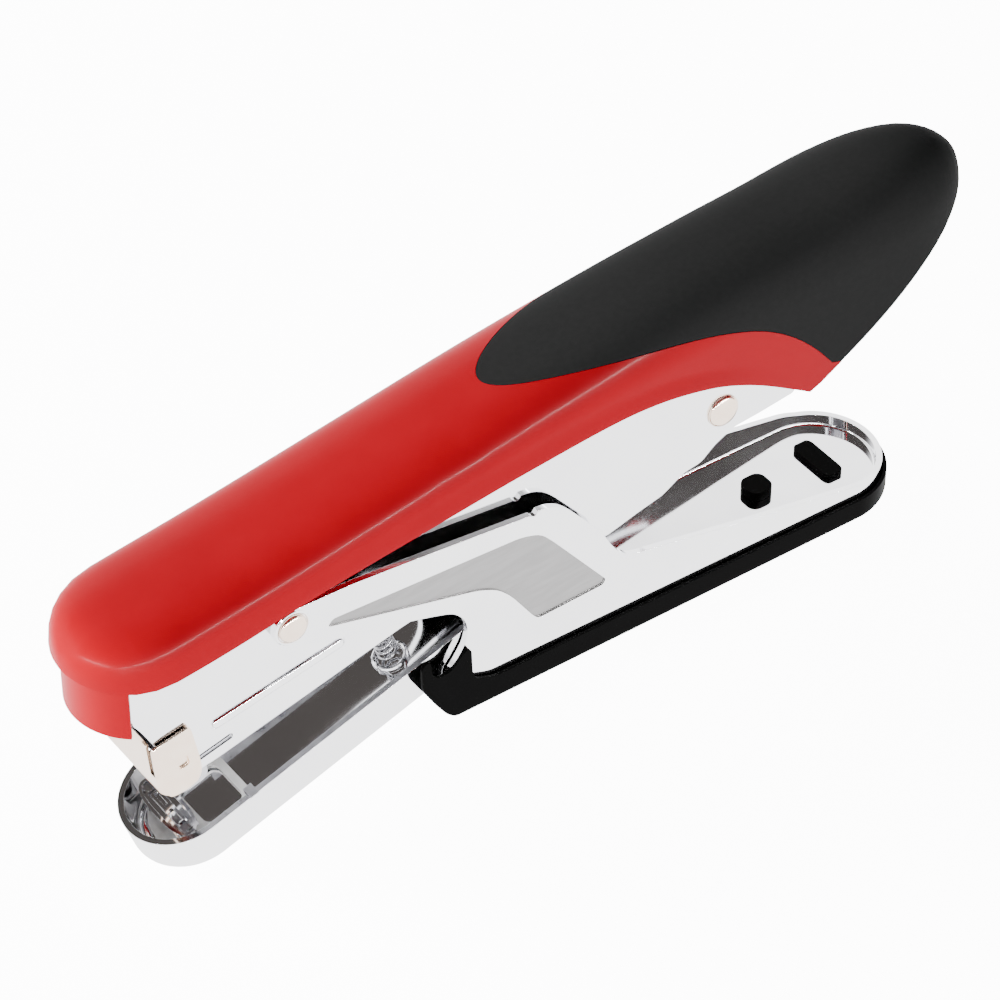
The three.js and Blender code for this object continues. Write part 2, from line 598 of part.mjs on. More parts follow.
// Ears that carry the channel on the rear rivet, set inwards between the anvil's tail walls
const EARS = { inner: 5.0, outer: 5.6 };
function ear(side) {
  const { inner, outer } = MAGAZINE;
  const band = [[93, outer], [95, outer], [98.5, EARS.outer], [135, EARS.outer],
    [135, EARS.inner], [98, EARS.inner], [94.5, inner], [93, inner]];
  return planPrism(band.map(([x, y]) => [x, side * y]), -5, 20).intersect(sidePrism(magazineOutline, -20, 20));
}

function magazineChannel() {
  const { inner, outer } = MAGAZINE;
  const floorTop = MAGAZINE_FLOOR + 0.5;
  return sidePrism(magazineOutline, -outer, outer)
    .subtract(box(0, 130, -inner, inner, floorTop, MAGAZINE_TOP - 0.6))
    .subtract(box(0, BRIDGE[0], -inner, inner, floorTop, 20))
    .subtract(box(BRIDGE[1], 130, -inner, inner, floorTop, 20))
    .subtract(box(0, 9.4, -inner, inner, -1, MAGAZINE_FLOOR))
    .subtract(box(0, RAIL_START + 0.2, -inner, inner, -1, 20))
    .subtract(box(94, 130, -20, 20, -5, 20))
    .add(ear(1))
    .add(ear(-1))
    .subtract(crossPin(magazinePivot, HOLE_RADIUS, -20, 20));
}
addPiece('magazine_channel', magazineChannel(), STEEL, magazineGroup);

const RAIL = { low: MAGAZINE_FLOOR + 0.5 + GAP, top: 9.3, sheet: 0.6, slotStart: 40 };
function stapleRail() {
  const half = RAIL_HALF_WIDTH;
  return box(RAIL_START, RAIL_END, -half, half, RAIL.low, RAIL.top)
    .subtract(box(0, 100, -half + RAIL.sheet, half - RAIL.sheet, 0, RAIL.top - RAIL.sheet))
    .subtract(box(RAIL.slotStart, 100, -1, 1, 0, 20));
}
// The two sides of the rail stay joined ahead of the slot
addPiece('staple_rail', stapleRail(), STEEL, magazineGroup);

// Stick of staples astride the rail
function stapleStrip() {
  const low = RAIL.low + 0.2;
  const crown = RAIL.top + GAP;
  return box(RAIL_START, RAIL_START + STRIP_LENGTH, -STAPLE_HALF_WIDTH, STAPLE_HALF_WIDTH, low, crown + 0.5)
    .subtract(box(0, 60, -RAIL_HALF_WIDTH - GAP, RAIL_HALF_WIDTH + GAP, 0, crown));
}
addPiece('staple_strip', stapleStrip(), STEEL, magazineGroup);

const ROD = { up: 6.5, radius: 0.9 };
const PUSHER = { start: RAIL_START + STRIP_LENGTH + GAP, length: 8 };
function alongRod(radius, from, to) {
  const geometry = new THREE.CylinderGeometry(radius, radius, to - from, 16).rotateZ(Math.PI / 2);
  return toSolid(geometry.translate((from + to) / 2, 0, ROD.up));
}
function pusher() {
  const from = PUSHER.start;
  const to = from + PUSHER.length;
  const half = STAPLE_HALF_WIDTH;
  return box(from, to, -half, half, RAIL.low + 0.4, RAIL.top + GAP + 1.1)
    .subtract(box(0, 100, -RAIL_HALF_WIDTH - GAP, RAIL_HALF_WIDTH + GAP, 0, RAIL.top + GAP))
    .add(box(from, to, -0.7, 0.7, RAIL.top - 1.4, RAIL.top + GAP + 0.5))
    .add(box(from, to, -3.2, 3.2, RAIL.low + 0.7, RAIL.top - RAIL.sheet - GAP))
    .subtract(alongRod(ROD.radius + GAP, 0, 100));
}
addPiece('pusher', pusher(), STEEL, magazineGroup);
addPiece('guide_rod', alongRod(ROD.radius, RAIL_START + 1, BRACKET_START + 2.6), STEEL, magazineGroup);

function rodBracket() {
  return box(BRACKET_START, BRACKET_START + 3, -MAGAZINE.inner + GAP, MAGAZINE.inner - GAP, RAIL.low, RAIL.top)
    .subtract(alongRod(ROD.radius + GAP, 0, 110));
}
addPiece('rod_bracket', rodBracket(), STEEL, magazineGroup);

const pusherEnd = PUSHER.start + PUSHER.length;
const PUSHER_SPRING_LENGTH = BRACKET_START - pusherEnd - 2.0;
const pusherSpring = addPiece('pusher_spring', coil(1.75, 0.45, PUSHER_SPRING_LENGTH, 16), SPRING_STEEL, magazineGroup);
pusherSpring.rotation.y = Math.PI / 2;
pusherSpring.position.set(pusherEnd + 1.0, 0, ROD.up);

addPiece('pivot_bush', toGeometry(
  crossPin(magazinePivot, 3.1, -EARS.inner + GAP, EARS.inner - GAP)
    .subtract(crossPin(magazinePivot, HOLE_RADIUS, -20, 20)),
), STEEL, magazineGroup);

// Spring that holds the magazine down, between its bridge and the frame's roof
const magazineSpring = addPiece('magazine_spring', coil(2.4, 0.6, 10.2, 6), SPRING_STEEL, magazineGroup);
magazineSpring.position.set((BRIDGE[0] + BRIDGE[1]) / 2, 0, MAGAZINE_TOP + 0.7);

// Nose plate: U-shaped cap outside the frame that closes the staple slot
const noseWing = [
  [1.1, 11.1], [2.4, 9.7], [3.8, 9.1], [6.3, 9.4], [8.3, 10.2], [9.1, 12.3], [8.7, 15.4], [7.5, 21.5],
  [7.2, 22.3], [0.1, 20.9],
];
const NOSE_SHEET = 0.5;
const NOSE_TOP = [-2.8, 26.4];
// Slots beside the front face, in which the frame's front edges slide
const SLOT = { inner: 7.0, outer: 8.3, low: 14.5 };
function nosePlate() {
  const { inner, outer } = NOSE;
  const hollow = [
    [1.1 + NOSE_SHEET, 11.1], [2.0, 5], [15, 5], [15, 30], [-0.9, 30], [0.1 + NOSE_SHEET, 20.9],
  ];
  const flange = sidePrism(
    [[0.1, 20.8], [0.1 + NOSE_SHEET, 20.8], [NOSE_TOP[0] + NOSE_SHEET, NOSE_TOP[1]], NOSE_TOP], -SLOT.inner, SLOT.inner,
  );
  let solid = sidePrism(noseWing, -outer, outer).subtract(sidePrism(hollow, -inner, inner));
  for (const side of [-1, 1]) {
    solid = solid.subtract(span(-4, 2.3, side * SLOT.inner, side * SLOT.outer, SLOT.low, 30));
  }
  solid = solid.add(flange);
  for (const side of [-1, 1]) {
    solid = solid.add(span(3.6, 7.0, side * (MAGAZINE.outer + GAP), side * inner, 9.6, 10.6));
  }
  return solid;
}
addPiece('nose_plate', nosePlate(), NICKEL);

// ---- Stand the stapler on its anvil tip and sole edge, with the origin under its middle ----
stapler.rotation.y = THREE.MathUtils.degToRad(PITCH_DEG);
stapler.updateMatrixWorld(true);
const bounds = new THREE.Box3().setFromObject(stapler, true);
stapler.position.set(-(bounds.min.x + bounds.max.x) / 2, -(bounds.min.y + bounds.max.y) / 2, -bounds.min.z);

export default stapler;
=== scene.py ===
"""Plier stapler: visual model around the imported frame. Lengths are in the lower lever's own
millimetres (X to the tail, Z up, sole at Z = 0) and are turned into the frame's metres by place()."""
import json
from math import atan2, cos, degrees, pi, radians, sin, sqrt

import bmesh
import bpy
from mathutils import Matrix, Vector


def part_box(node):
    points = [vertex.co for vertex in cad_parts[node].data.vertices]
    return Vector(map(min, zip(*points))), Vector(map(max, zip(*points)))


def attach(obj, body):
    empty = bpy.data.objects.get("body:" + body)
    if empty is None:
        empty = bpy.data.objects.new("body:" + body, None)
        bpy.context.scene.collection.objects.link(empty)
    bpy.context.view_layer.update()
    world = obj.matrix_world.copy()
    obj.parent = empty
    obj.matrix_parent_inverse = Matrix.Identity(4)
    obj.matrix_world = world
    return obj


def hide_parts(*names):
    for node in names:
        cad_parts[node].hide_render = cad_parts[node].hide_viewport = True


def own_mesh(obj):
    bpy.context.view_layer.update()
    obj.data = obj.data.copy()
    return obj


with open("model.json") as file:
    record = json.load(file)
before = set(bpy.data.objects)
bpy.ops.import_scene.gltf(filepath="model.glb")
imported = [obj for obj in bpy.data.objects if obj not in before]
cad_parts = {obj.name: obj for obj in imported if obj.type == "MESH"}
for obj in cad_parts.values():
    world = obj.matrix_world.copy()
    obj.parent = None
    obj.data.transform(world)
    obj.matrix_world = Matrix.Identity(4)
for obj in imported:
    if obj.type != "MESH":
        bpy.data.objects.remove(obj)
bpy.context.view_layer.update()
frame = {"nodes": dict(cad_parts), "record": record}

# ---- Driving dimensions, mm ----
FRONT_PIVOT = (25.1, 36.1)
REAR_PIVOT = (112.1, 36.1)
PITCH_DEG = 3.95
TAIL_CENTRE_X = 140.5
MAGAZINE = dict(inner=6.5, outer=7.0)
FRAME = dict(inner=7.3, outer=8.0)
NOSE = dict(inner=8.3, outer=8.8)
ANVIL = dict(inner=9.2, outer=10.3)
HANDLE = dict(inner=10.6, outer=11.7)
SOLE = dict(inner=12.0, outer=12.6)
COVER_HALF = 13.0
LAND_RISE = 0.8
ANVIL_START, ANVIL_TILT_DEG = (2.15, -10.8), 18.6
MAGAZINE_START, MAGAZINE_TILT_DEG = (1.9, 6.8), 14.3

# ---- From the lever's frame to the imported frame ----
rivet_low, rivet_high = (Vector(corner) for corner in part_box("front_rivet"))
PIVOT_IN_FRAME = (rivet_low + rivet_high) / 2
MM = 0.001
place = (
    Matrix.Translation(PIVOT_IN_FRAME)
    @ Matrix.Rotation(radians(PITCH_DEG), 4, "Y")
    @ Matrix.Scale(MM, 4)
    @ Matrix.Translation((-FRONT_PIVOT[0], 0, -FRONT_PIVOT[1]))
)


def tilted(start, tilt_deg):
    """Matrix from a tilted group (along, across, up) to the lever's frame."""
    return Matrix.Translation((start[0], 0, start[1])) @ Matrix.Rotation(-radians(tilt_deg), 4, "Y")


anvil_frame = tilted(ANVIL_START, ANVIL_TILT_DEG)
magazine_frame = tilted(MAGAZINE_START, MAGAZINE_TILT_DEG)


# ---- Materials ----
def new_material(name, color, metallic, roughness, **extra):
    material = bpy.data.materials.new(name)
    material.use_nodes = True
    shader = material.node_tree.nodes["Principled BSDF"]
    shader.inputs["Base Color"].default_value = (*color, 1)
    shader.inputs["Metallic"].default_value = metallic
    shader.inputs["Roughness"].default_value = roughness
    for socket, value in extra.items():
        shader.inputs[socket.replace("_", " ")].default_value = value
    return material


def add_node(material, kind, **settings):
    node = material.node_tree.nodes.new(kind)
    for key, value in settings.items():
        if key in node.inputs:
            node.inputs[key].default_value = value
        else:
            setattr(node, key, value)
    return node


def link(material, source, output, target, socket):
    material.node_tree.links.new(source.outputs[output], target.inputs[socket])


def object_noise(material, scale, detail=3.0, stretch=(1, 1, 1)):
    """Noise in object space, in cells per metre."""
    place_node = add_node(material, "ShaderNodeTexCoord")
    mapping = add_node(material, "ShaderNodeMapping")
    mapping.inputs["Scale"].default_value = stretch
    noise = add_node(material, "ShaderNodeTexNoise", Scale=scale, Detail=detail)
    link(material, place_node, "Object", mapping, "Vector")
    link(material, mapping, "Vector", noise, "Vector")
    return noise


def spread(material, noise, low, high):
    """The noise's middle range, stretched from low to high."""
    remap = add_node(material, "ShaderNodeMapRange")
    remap.inputs["From Min"].default_value = 0.3
    remap.inputs["From Max"].default_value = 0.7
    remap.inputs["To Min"].default_value = low
    remap.inputs["To Max"].default_value = high
    link(material, noise, "Fac", remap, "Value")
    return remap


def vary(material, low_color, high_color, low_rough, high_rough, scale, stretch=(1, 1, 1)):
    """Slow drift of colour and roughness over the surface: scale in cells per metre."""
    shader = material.node_tree.nodes["Principled BSDF"]
    noise = object_noise(material, scale, stretch=stretch)
    ramp = add_node(material, "ShaderNodeValToRGB")
    ramp.color_ramp.elements[0].position = 0.35
    ramp.color_ramp.elements[1].position = 0.65
    ramp.color_ramp.elements[0].color = (*low_color, 1)
    ramp.color_ramp.elements[1].color = (*high_color, 1)
    link(material, noise, "Fac", ramp, "Fac")
    link(material, ramp, "Color", shader, "Base Color")
    link(material, spread(material, noise, low_rough, high_rough), "Result", shader, "Roughness")


def bump(material, scale, depth, detail=3.0, stretch=(1, 1, 1)):
    """Fine relief: scale in cells per metre, depth in metres."""
    shader = material.node_tree.nodes["Principled BSDF"]
    noise = object_noise(material, scale, detail, stretch)
    node = add_node(material, "ShaderNodeBump", Strength=1.0, Distance=depth)
    link(material, noise, "Fac", node, "Height")
    link(material, node, "Normal", shader, "Normal")


chrome = new_material("chrome_plate", (0.84, 0.84, 0.86), 1.0, 0.05)
vary(chrome, (0.82, 0.82, 0.84), (0.86, 0.86, 0.875), 0.04, 0.08, 60)
bump(chrome, 70, 0.00008, detail=1.0)

nickel = new_material("nickel_plate", (0.84, 0.68, 0.56), 1.0, 0.18)
vary(nickel, (0.82, 0.66, 0.54), (0.86, 0.71, 0.59), 0.15, 0.24, 500)
bump(nickel, 900, 0.00002)

satin = new_material("satin_panel", (0.24, 0.235, 0.235), 1.0, 0.3)
vary(satin, (0.225, 0.22, 0.22), (0.255, 0.25, 0.25), 0.27, 0.34, 900, stretch=(0.15, 1, 1))
bump(satin, 2500, 0.000006)

lining = new_material("lining_steel", (0.62, 0.62, 0.61), 0.6, 0.4)
vary(lining, (0.58, 0.58, 0.57), (0.66, 0.66, 0.65), 0.35, 0.46, 700)

steel = new_material("plain_steel", (0.50, 0.50, 0.52), 1.0, 0.3)
vary(steel, (0.46, 0.46, 0.48), (0.55, 0.55, 0.57), 0.25, 0.38, 300)

spring_steel = new_material("spring_steel", (0.42, 0.42, 0.44), 1.0, 0.25)
vary(spring_steel, (0.36, 0.36, 0.38), (0.48, 0.48, 0.50), 0.2, 0.32, 800)

red_paint = new_material(
    "red_paint", (0.50, 0.001, 0.011), 0.0, 0.35,
    Specular_IOR_Level=0.05, Coat_Weight=0.06, Coat_Roughness=0.14,
)
vary(red_paint, (0.49, 0.0008, 0.0105), (0.51, 0.0012, 0.0115), 0.33, 0.38, 120)
bump(red_paint, 1400, 0.000006)

soft_black = new_material("soft_black", (0.026, 0.026, 0.026), 0.0, 0.65, Specular_IOR_Level=0.01)
vary(soft_black, (0.025, 0.025, 0.025), (0.027, 0.027, 0.027), 0.62, 0.68, 900)
bump(soft_black, 3500, 0.00002)

black_plastic = new_material("black_plastic", (0.0015, 0.0015, 0.0015), 0.0, 0.45, Specular_IOR_Level=0.01)
vary(black_plastic, (0.001, 0.001, 0.001), (0.002, 0.002, 0.002), 0.4, 0.5, 300)
bump(black_plastic, 3000, 0.00001)

FINISHES = {
    "chrome_plate": chrome,
    "nickel_plate": nickel,
    "plain_steel": steel,
    "spring_steel": spring_steel,
    "red_paint": red_paint,
    "soft_black": soft_black,
    "black_plastic": black_plastic,
}
for subpart in frame["record"]["subparts"]:
    node_object = frame["nodes"][subpart["node"]]
    node_object.data.materials.clear()
    node_object.data.materials.append(FINISHES[subpart["material_slot"]])

# ---- Camera, floor and light ----
CAMERA_AZIMUTH, CAMERA_ELEVATION = radians(-35.6), radians(40.9)
CAMERA_DISTANCE, CAMERA_LENS = 702, 154.8
CAMERA_TARGET = Vector((73.24, 0, 29.88))
right = Vector((cos(CAMERA_AZIMUTH), sin(CAMERA_AZIMUTH), 0))
back = Vector((
    sin(CAMERA_AZIMUTH) * cos(CAMERA_ELEVATION),
    -cos(CAMERA_AZIMUTH) * cos(CAMERA_ELEVATION),
    sin(CAMERA_ELEVATION),
))
up = back.cross(right)
turn = Matrix((right, up, back)).transposed().to_4x4()
camera_data = bpy.data.cameras.new("camera")
camera_data.lens = CAMERA_LENS
camera_data.sensor_width = 36
camera_data.clip_start = 0.01
camera = bpy.data.objects.new("camera", camera_data)
bpy.context.scene.collection.objects.link(camera)
eye = place @ (CAMERA_TARGET + back * CAMERA_DISTANCE)
camera.matrix_world = Matrix.Translation(eye) @ Matrix.Rotation(radians(PITCH_DEG), 4, "Y") @ turn
bpy.context.scene.camera = camera

# Studio: a bright sweep below and behind the object, dark above and on the near side
BRIGHT, DARK = 3.7, (0.10, 0.09, 0.085)
SWEEP_EDGE, SWEEP_SOFT = 0.5, 0.10
SWEEP_LEAN, SWEEP_HEADING = 0.22, (0.58, 0.81)
world = bpy.data.worlds.new("studio")
world.use_nodes = True
tree = world.node_tree
background = tree.nodes["Background"]
direction = tree.nodes.new("ShaderNodeTexCoord")
parts = tree.nodes.new("ShaderNodeSeparateXYZ")
lean = tree.nodes.new("ShaderNodeVectorMath")
lean.operation = "DOT_PRODUCT"
lean.inputs[1].default_value = (SWEEP_HEADING[0] * SWEEP_LEAN, SWEEP_HEADING[1] * SWEEP_LEAN, 0)
height = tree.nodes.new("ShaderNodeMath")
height.operation = "SUBTRACT"
step = tree.nodes.new("ShaderNodeMapRange")
step.interpolation_type = "SMOOTHSTEP"
step.inputs["From Min"].default_value = SWEEP_EDGE - SWEEP_SOFT
step.inputs["From Max"].default_value = SWEEP_EDGE + SWEEP_SOFT
mix = tree.nodes.new("ShaderNodeMix")
mix.data_type = "RGBA"
mix.inputs["A"].default_value = (BRIGHT, BRIGHT, BRIGHT, 1)
mix.inputs["B"].default_value = (*DARK, 1)
tree.links.new(direction.outputs["Generated"], parts.inputs[0])
tree.links.new(direction.outputs["Generated"], lean.inputs[0])
tree.links.new(parts.outputs["Z"], height.inputs[0])
tree.links.new(lean.outputs["Value"], height.inputs[1])
tree.links.new(height.outputs[0], step.inputs["Value"])
tree.links.new(step.outputs["Result"], mix.inputs["Factor"])
tree.links.new(mix.outputs["Result"], background.inputs["Color"])
world.cycles_visibility.diffuse = False
bpy.context.scene.world = world


LAMP_TARGET = Vector((0, 0, 0.04))


def area_light(name, location, size, power, mirrored=False):
    """Lamp aimed at the object: one for the matt surfaces, or one that only the glossy ones mirror."""
    data = bpy.data.lights.new(name, "AREA")
    data.shape = "RECTANGLE"
    data.size, data.size_y = size
    data.energy = power
    lamp = bpy.data.objects.new(name, data)
    lamp.location = location
    lamp.rotation_euler = (LAMP_TARGET - Vector(location)).to_track_quat("-Z", "Y").to_euler()
    lamp.visible_glossy = mirrored
    lamp.visible_diffuse = not mirrored
    bpy.context.scene.collection.objects.link(lamp)
    return lamp


area_light("key_light", (-0.85, 0.8, 0.55), (0.6, 0.6), 42)
area_light("side_light", (-0.75, -0.95, 0.12), (0.8, 0.3), 23)
area_light("strip_light", (0, -1.0, 0.62), (2.6, 0.04), 60, mirrored=True)
area_light("front_strip", (-1.05, -0.05, 0.5), (0.9, 0.04), 16, mirrored=True)

FLOOR_HALF, CARD_DROP = 4.0, 0.002
floor_mesh = bpy.data.meshes.new("floor")
floor_mesh.from_pydata(
    [(x * FLOOR_HALF, y * FLOOR_HALF, 0) for x, y in ((-1, -1), (1, -1), (1, 1), (-1, 1))],
    [], [(0, 1, 2, 3)],
)
floor = bpy.data.objects.new("floor", floor_mesh)
bpy.context.scene.collection.objects.link(floor)
floor_material = new_material(
    "pale_floor", (0.9, 0.9, 0.9), 0.0, 0.8, Emission_Color=(1, 1, 1, 1), Emission_Strength=12.0,
)
floor.data.materials.append(floor_material)
# The floor is only looked at: the chrome mirrors the sweep, and an unseen grey card under the floor
# sends soft light up to the matt surfaces
floor.visible_diffuse = False
floor.visible_glossy = False
card = bpy.data.objects.new("light_card", floor_mesh.copy())
card.location.z = -CARD_DROP
card.data.materials.clear()
card.data.materials.append(new_material(
    "card_grey", (0.3, 0.3, 0.3), 0.0, 1.0, Emission_Color=(1, 1, 1, 1), Emission_Strength=0.5,
))
card.visible_camera = False
card.visible_glossy = False
card.visible_shadow = False
bpy.context.scene.collection.objects.link(card)

# ---- Mesh helpers: every piece is drawn in millimetres in the lever's frame ----
def mesh_object(name, vertices, faces, material=None):
    mesh = bpy.data.meshes.new(name)
    mesh.from_pydata([tuple(v) for v in vertices], [], faces)
    mesh.update()
    made = bpy.data.objects.new(name, mesh)
    bpy.context.scene.collection.objects.link(made)
    if material:
        mesh.materials.append(material)
    return made


def prism(points, low, high, axis="Y", material=None):
    """Prism of an outline: across the width (outline in X, Z) or upright (outline in X, Y)."""
    count = len(points)
    if axis == "Y":
        rings = [[(a, level, b) for a, b in points] for level in (low, high)]
    else:
        rings = [[(a, b, level) for a, b in points] for level in (low, high)]
    faces = [list(range(count)), list(range(2 * count - 1, count - 1, -1))]
    faces += [[i, count + i, count + (i + 1) % count, (i + 1) % count] for i in range(count)]
    made = mesh_object("prism", rings[0] + rings[1], faces, material)
    face_outwards(made)
    return made


def face_outwards(made):
    work = bmesh.new()
    work.from_mesh(made.data)
    bmesh.ops.recalc_face_normals(work, faces=work.faces)
    work.to_mesh(made.data)
    work.free()


def arc(centre, radius, from_deg, to_deg, steps):
    angles = [radians(from_deg + (to_deg - from_deg) * i / steps) for i in range(steps + 1)]
    return [(centre[0] + radius * cos(a), centre[1] + radius * sin(a)) for a in angles]


def capsule(start, end, radius, steps=10):
    heading = degrees(atan2(end[1] - start[1], end[0] - start[0]))
    head = arc(end, radius, heading - 90, heading + 90, steps)
    return head + arc(start, radius, heading + 90, heading + 270, steps)


def box_points(x0, x1, y0, y1):
    return [(x0, y0), (x1, y0), (x1, y1), (x0, y1)]


def rounded(points, radius, steps=5):
    """Outline with each corner turned into an arc of about this radius, where its sides are long enough."""
    result = []
    count = len(points)
    for i in range(count):
        before, corner, after = Vector(points[i - 1]), Vector(points[i]), Vector(points[(i + 1) % count])
        reach = min(radius, (before - corner).length * 0.45, (after - corner).length * 0.45)
        start = corner + (before - corner).normalized() * reach
        end = corner + (after - corner).normalized() * reach
        for k in range(steps + 1):
            t = k / steps
            result.append(tuple(start * (1 - t) ** 2 + corner * 2 * t * (1 - t) + end * t ** 2))
    return result


def round_edges(made, test, radius, segments=4):
    """Bevel the edges whose middle point passes the test."""
    work = bmesh.new()
    work.from_mesh(made.data)
    chosen = [edge for edge in work.edges if test((edge.verts[0].co + edge.verts[1].co) / 2, edge)]
    bmesh.ops.bevel(work, geom=chosen, offset=radius, segments=segments, profile=0.5, affect="EDGES")
    work.to_mesh(made.data)
    work.free()
    return made


def combine(target, tools, operation="DIFFERENCE"):
    for tool in tools:
        modifier = target.modifiers.new("combine", "BOOLEAN")
        modifier.object = tool
        modifier.operation = operation
        modifier.solver = "EXACT"
        modifier.material_mode = "TRANSFER"
        graph = bpy.context.evaluated_depsgraph_get()
        result = bpy.data.meshes.new_from_object(target.evaluated_get(graph))
        target.modifiers.clear()
        target.data = result
        bpy.data.objects.remove(tool)
    return target


def join(pieces):
    """One object from several closed shells."""
    first = pieces[0]
    work = bmesh.new()
    slots = []
    for piece in pieces:
        start = len(work.faces)
        work.from_mesh(piece.data)
        work.faces.ensure_lookup_table()
        remap = []
        for material in piece.data.materials:
            if material not in slots:
                slots.append(material)
            remap.append(slots.index(material))
        for face in work.faces[start:]:
            face.material_index = remap[face.material_index] if remap else 0
    first.data.materials.clear()
    for material in slots:
        first.data.materials.append(material)
    work.to_mesh(first.data)
    work.free()
    for piece in pieces[1:]:
        bpy.data.objects.remove(piece)
    return first


def lathe(profile, steps=48, material=None):
    """Turned solid about the local Z axis. The profile is (radius, height), and either starts and ends on
    the axis or closes on itself."""
    closed = profile[0][0] > 0
    vertices, faces = [], []
    rings = []
    for radius, height in profile:
        if radius == 0:
            rings.append([len(vertices)])
            vertices.append((0, 0, height))
            continue
        rings.append(list(range(len(vertices), len(vertices) + steps)))
        for i in range(steps):
            angle = 2 * pi * i / steps
            vertices.append((radius * cos(angle), radius * sin(angle), height))
    pairs = list(zip(rings, rings[1:])) + ([(rings[-1], rings[0])] if closed else [])
    for lower, upper in pairs:
        for i in range(steps):
            j = (i + 1) % steps
            corners = [
                lower[i % len(lower)], lower[j % len(lower)], upper[j % len(upper)], upper[i % len(upper)],
            ]
            faces.append(list(dict.fromkeys(corners)))
    made = mesh_object("lathe", vertices, faces, material)
    face_outwards(made)
    return made


def moved(made, matrix):
    made.data.transform(matrix)
    return made


def across(x, z):
    """Turns a shape about Z into one about the width, centred on (x, z)."""
    return Matrix.Translation((x, 0, z)) @ Matrix.Rotation(radians(90), 4, "X")


def finish_piece(made, name, body, nodes=(), edge=0.2, segments=2, sharp_deg=32):
    """Place a piece in the frame, round its sharp edges and ride it on its body."""
    made.name = name
    made.data.name = name
    made.data.transform(place)
    made.data.shade_smooth()
    if edge:
        bevel = made.modifiers.new("edge", "BEVEL")
        bevel.width = edge * MM
        bevel.segments = segments
        bevel.limit_method = "ANGLE"
        bevel.angle_limit = radians(sharp_deg)
        bevel.miter_outer = "MITER_ARC"
        bevel.use_clamp_overlap = True
    made.data.set_sharp_from_angle(angle=radians(40))
    normals = made.modifiers.new("normals", "WEIGHTED_NORMAL")
    normals.keep_sharp = True
    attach(made, body)
    if nodes:
        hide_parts(*nodes)
    return made


def spline_points(points, steps=8):
    """Catmull-Rom curve through the points."""
    padded = [points[0], *points, points[-1]]
    curve = []
    for i in range(1, len(padded) - 2):
        a, b, c, d = (Vector(q) for q in padded[i - 1:i + 3])
        for k in range(steps):
            t = k / steps
            curve.append(0.5 * (2 * b + (c - a) * t + (2 * a - 5 * b + 4 * c - d) * t ** 2
                                + (3 * b - a - 3 * c + d) * t ** 3))
    curve.append(Vector(points[-1]))
    return curve


def height_at(curve, x):
    for a, b in zip(curve, curve[1:]):
        if x <= b[0]:
            return a[1] + (b[1] - a[1]) * max(0, x - a[0]) / max(1e-9, b[0] - a[0])
    return curve[-1][1]


# ---- Cover and grip: one lofted skin, split along the grip's edge ----
COVER_FRONT, COVER_TAIL, COVER_NOSE_CENTRE, TAPER_START = -9.85, 167.2, 3.15, 134
RIDGE = spline_points([
    (-9.85, 37.4), (-9.2, 40.6), (-6.6, 43.2), (-2, 44.7), (8, 46.3), (22, 48.4), (42, 52.0), (62, 55.7),
    (80, 59.1), (100, 62.6), (115, 64.5), (130, 66.0), (143, 67.7), (152, 68.4), (159, 67.7), (164.0, 64.9),
    (167.2, 60.0),
])
# Lower edge of the cover: up to an arch over the rear rivet, down again, and then the slanted tail
COVER_EDGE = spline_points([
    (-12, 37.2), (-2, 37.3), (12, 38.9), (30, 42.0), (50, 44.7), (70, 47.2), (90, 48.8), (104, 47.1),
    (115, 42.9), (127.6, 35.3),
], 12) + [Vector(point) for point in ((150, 48.6), (158, 53.2), (163, 57), (168, 62))]
# Edge of the grip: a parabola from its round tip, and further back a sweep down to the cover's lower edge
GRIP_TIP, GRIP_ROUND = 69.2, 2.48
GRIP_SWEEP = dict(start=90, length=43.4, drop=18.1, power=3.5)
SKIN_STEPS = 44


def half_width_at(x):
    if x < COVER_NOSE_CENTRE:
        reach = (COVER_NOSE_CENTRE - x) / (COVER_NOSE_CENTRE - COVER_FRONT)
        return COVER_HALF * sqrt(max(0, 1 - reach ** 2))
    if x > TAPER_START:
        reach = (x - TAPER_START) / (COVER_TAIL - TAPER_START)
        return COVER_HALF * max(0, 1 - reach ** 2.3) ** 0.55
    return COVER_HALF


# Lip along the cover's lower edge, which fades out towards the grip and round the nose
LIP_OUT, LIP_HEIGHT, LIP_DRAFT = 0.5, 3.8, 0.3
LIP_FADE_START, LIP_FADE, LIP_NOSE_FADE = 100, 25, 8
# The section has squarer shoulders up to SQUARE_END, and softens over the next SQUARE_FADE
SQUARE_END, SQUARE_FADE = 60, 55
WALL_START, WALL_STEP, WALL_COUNT, SHOULDER_STEPS = 24, 0.5, 80, 40


def smooth(t):
    t = max(0.0, min(1.0, t))
    return t * t * (3 - 2 * t)


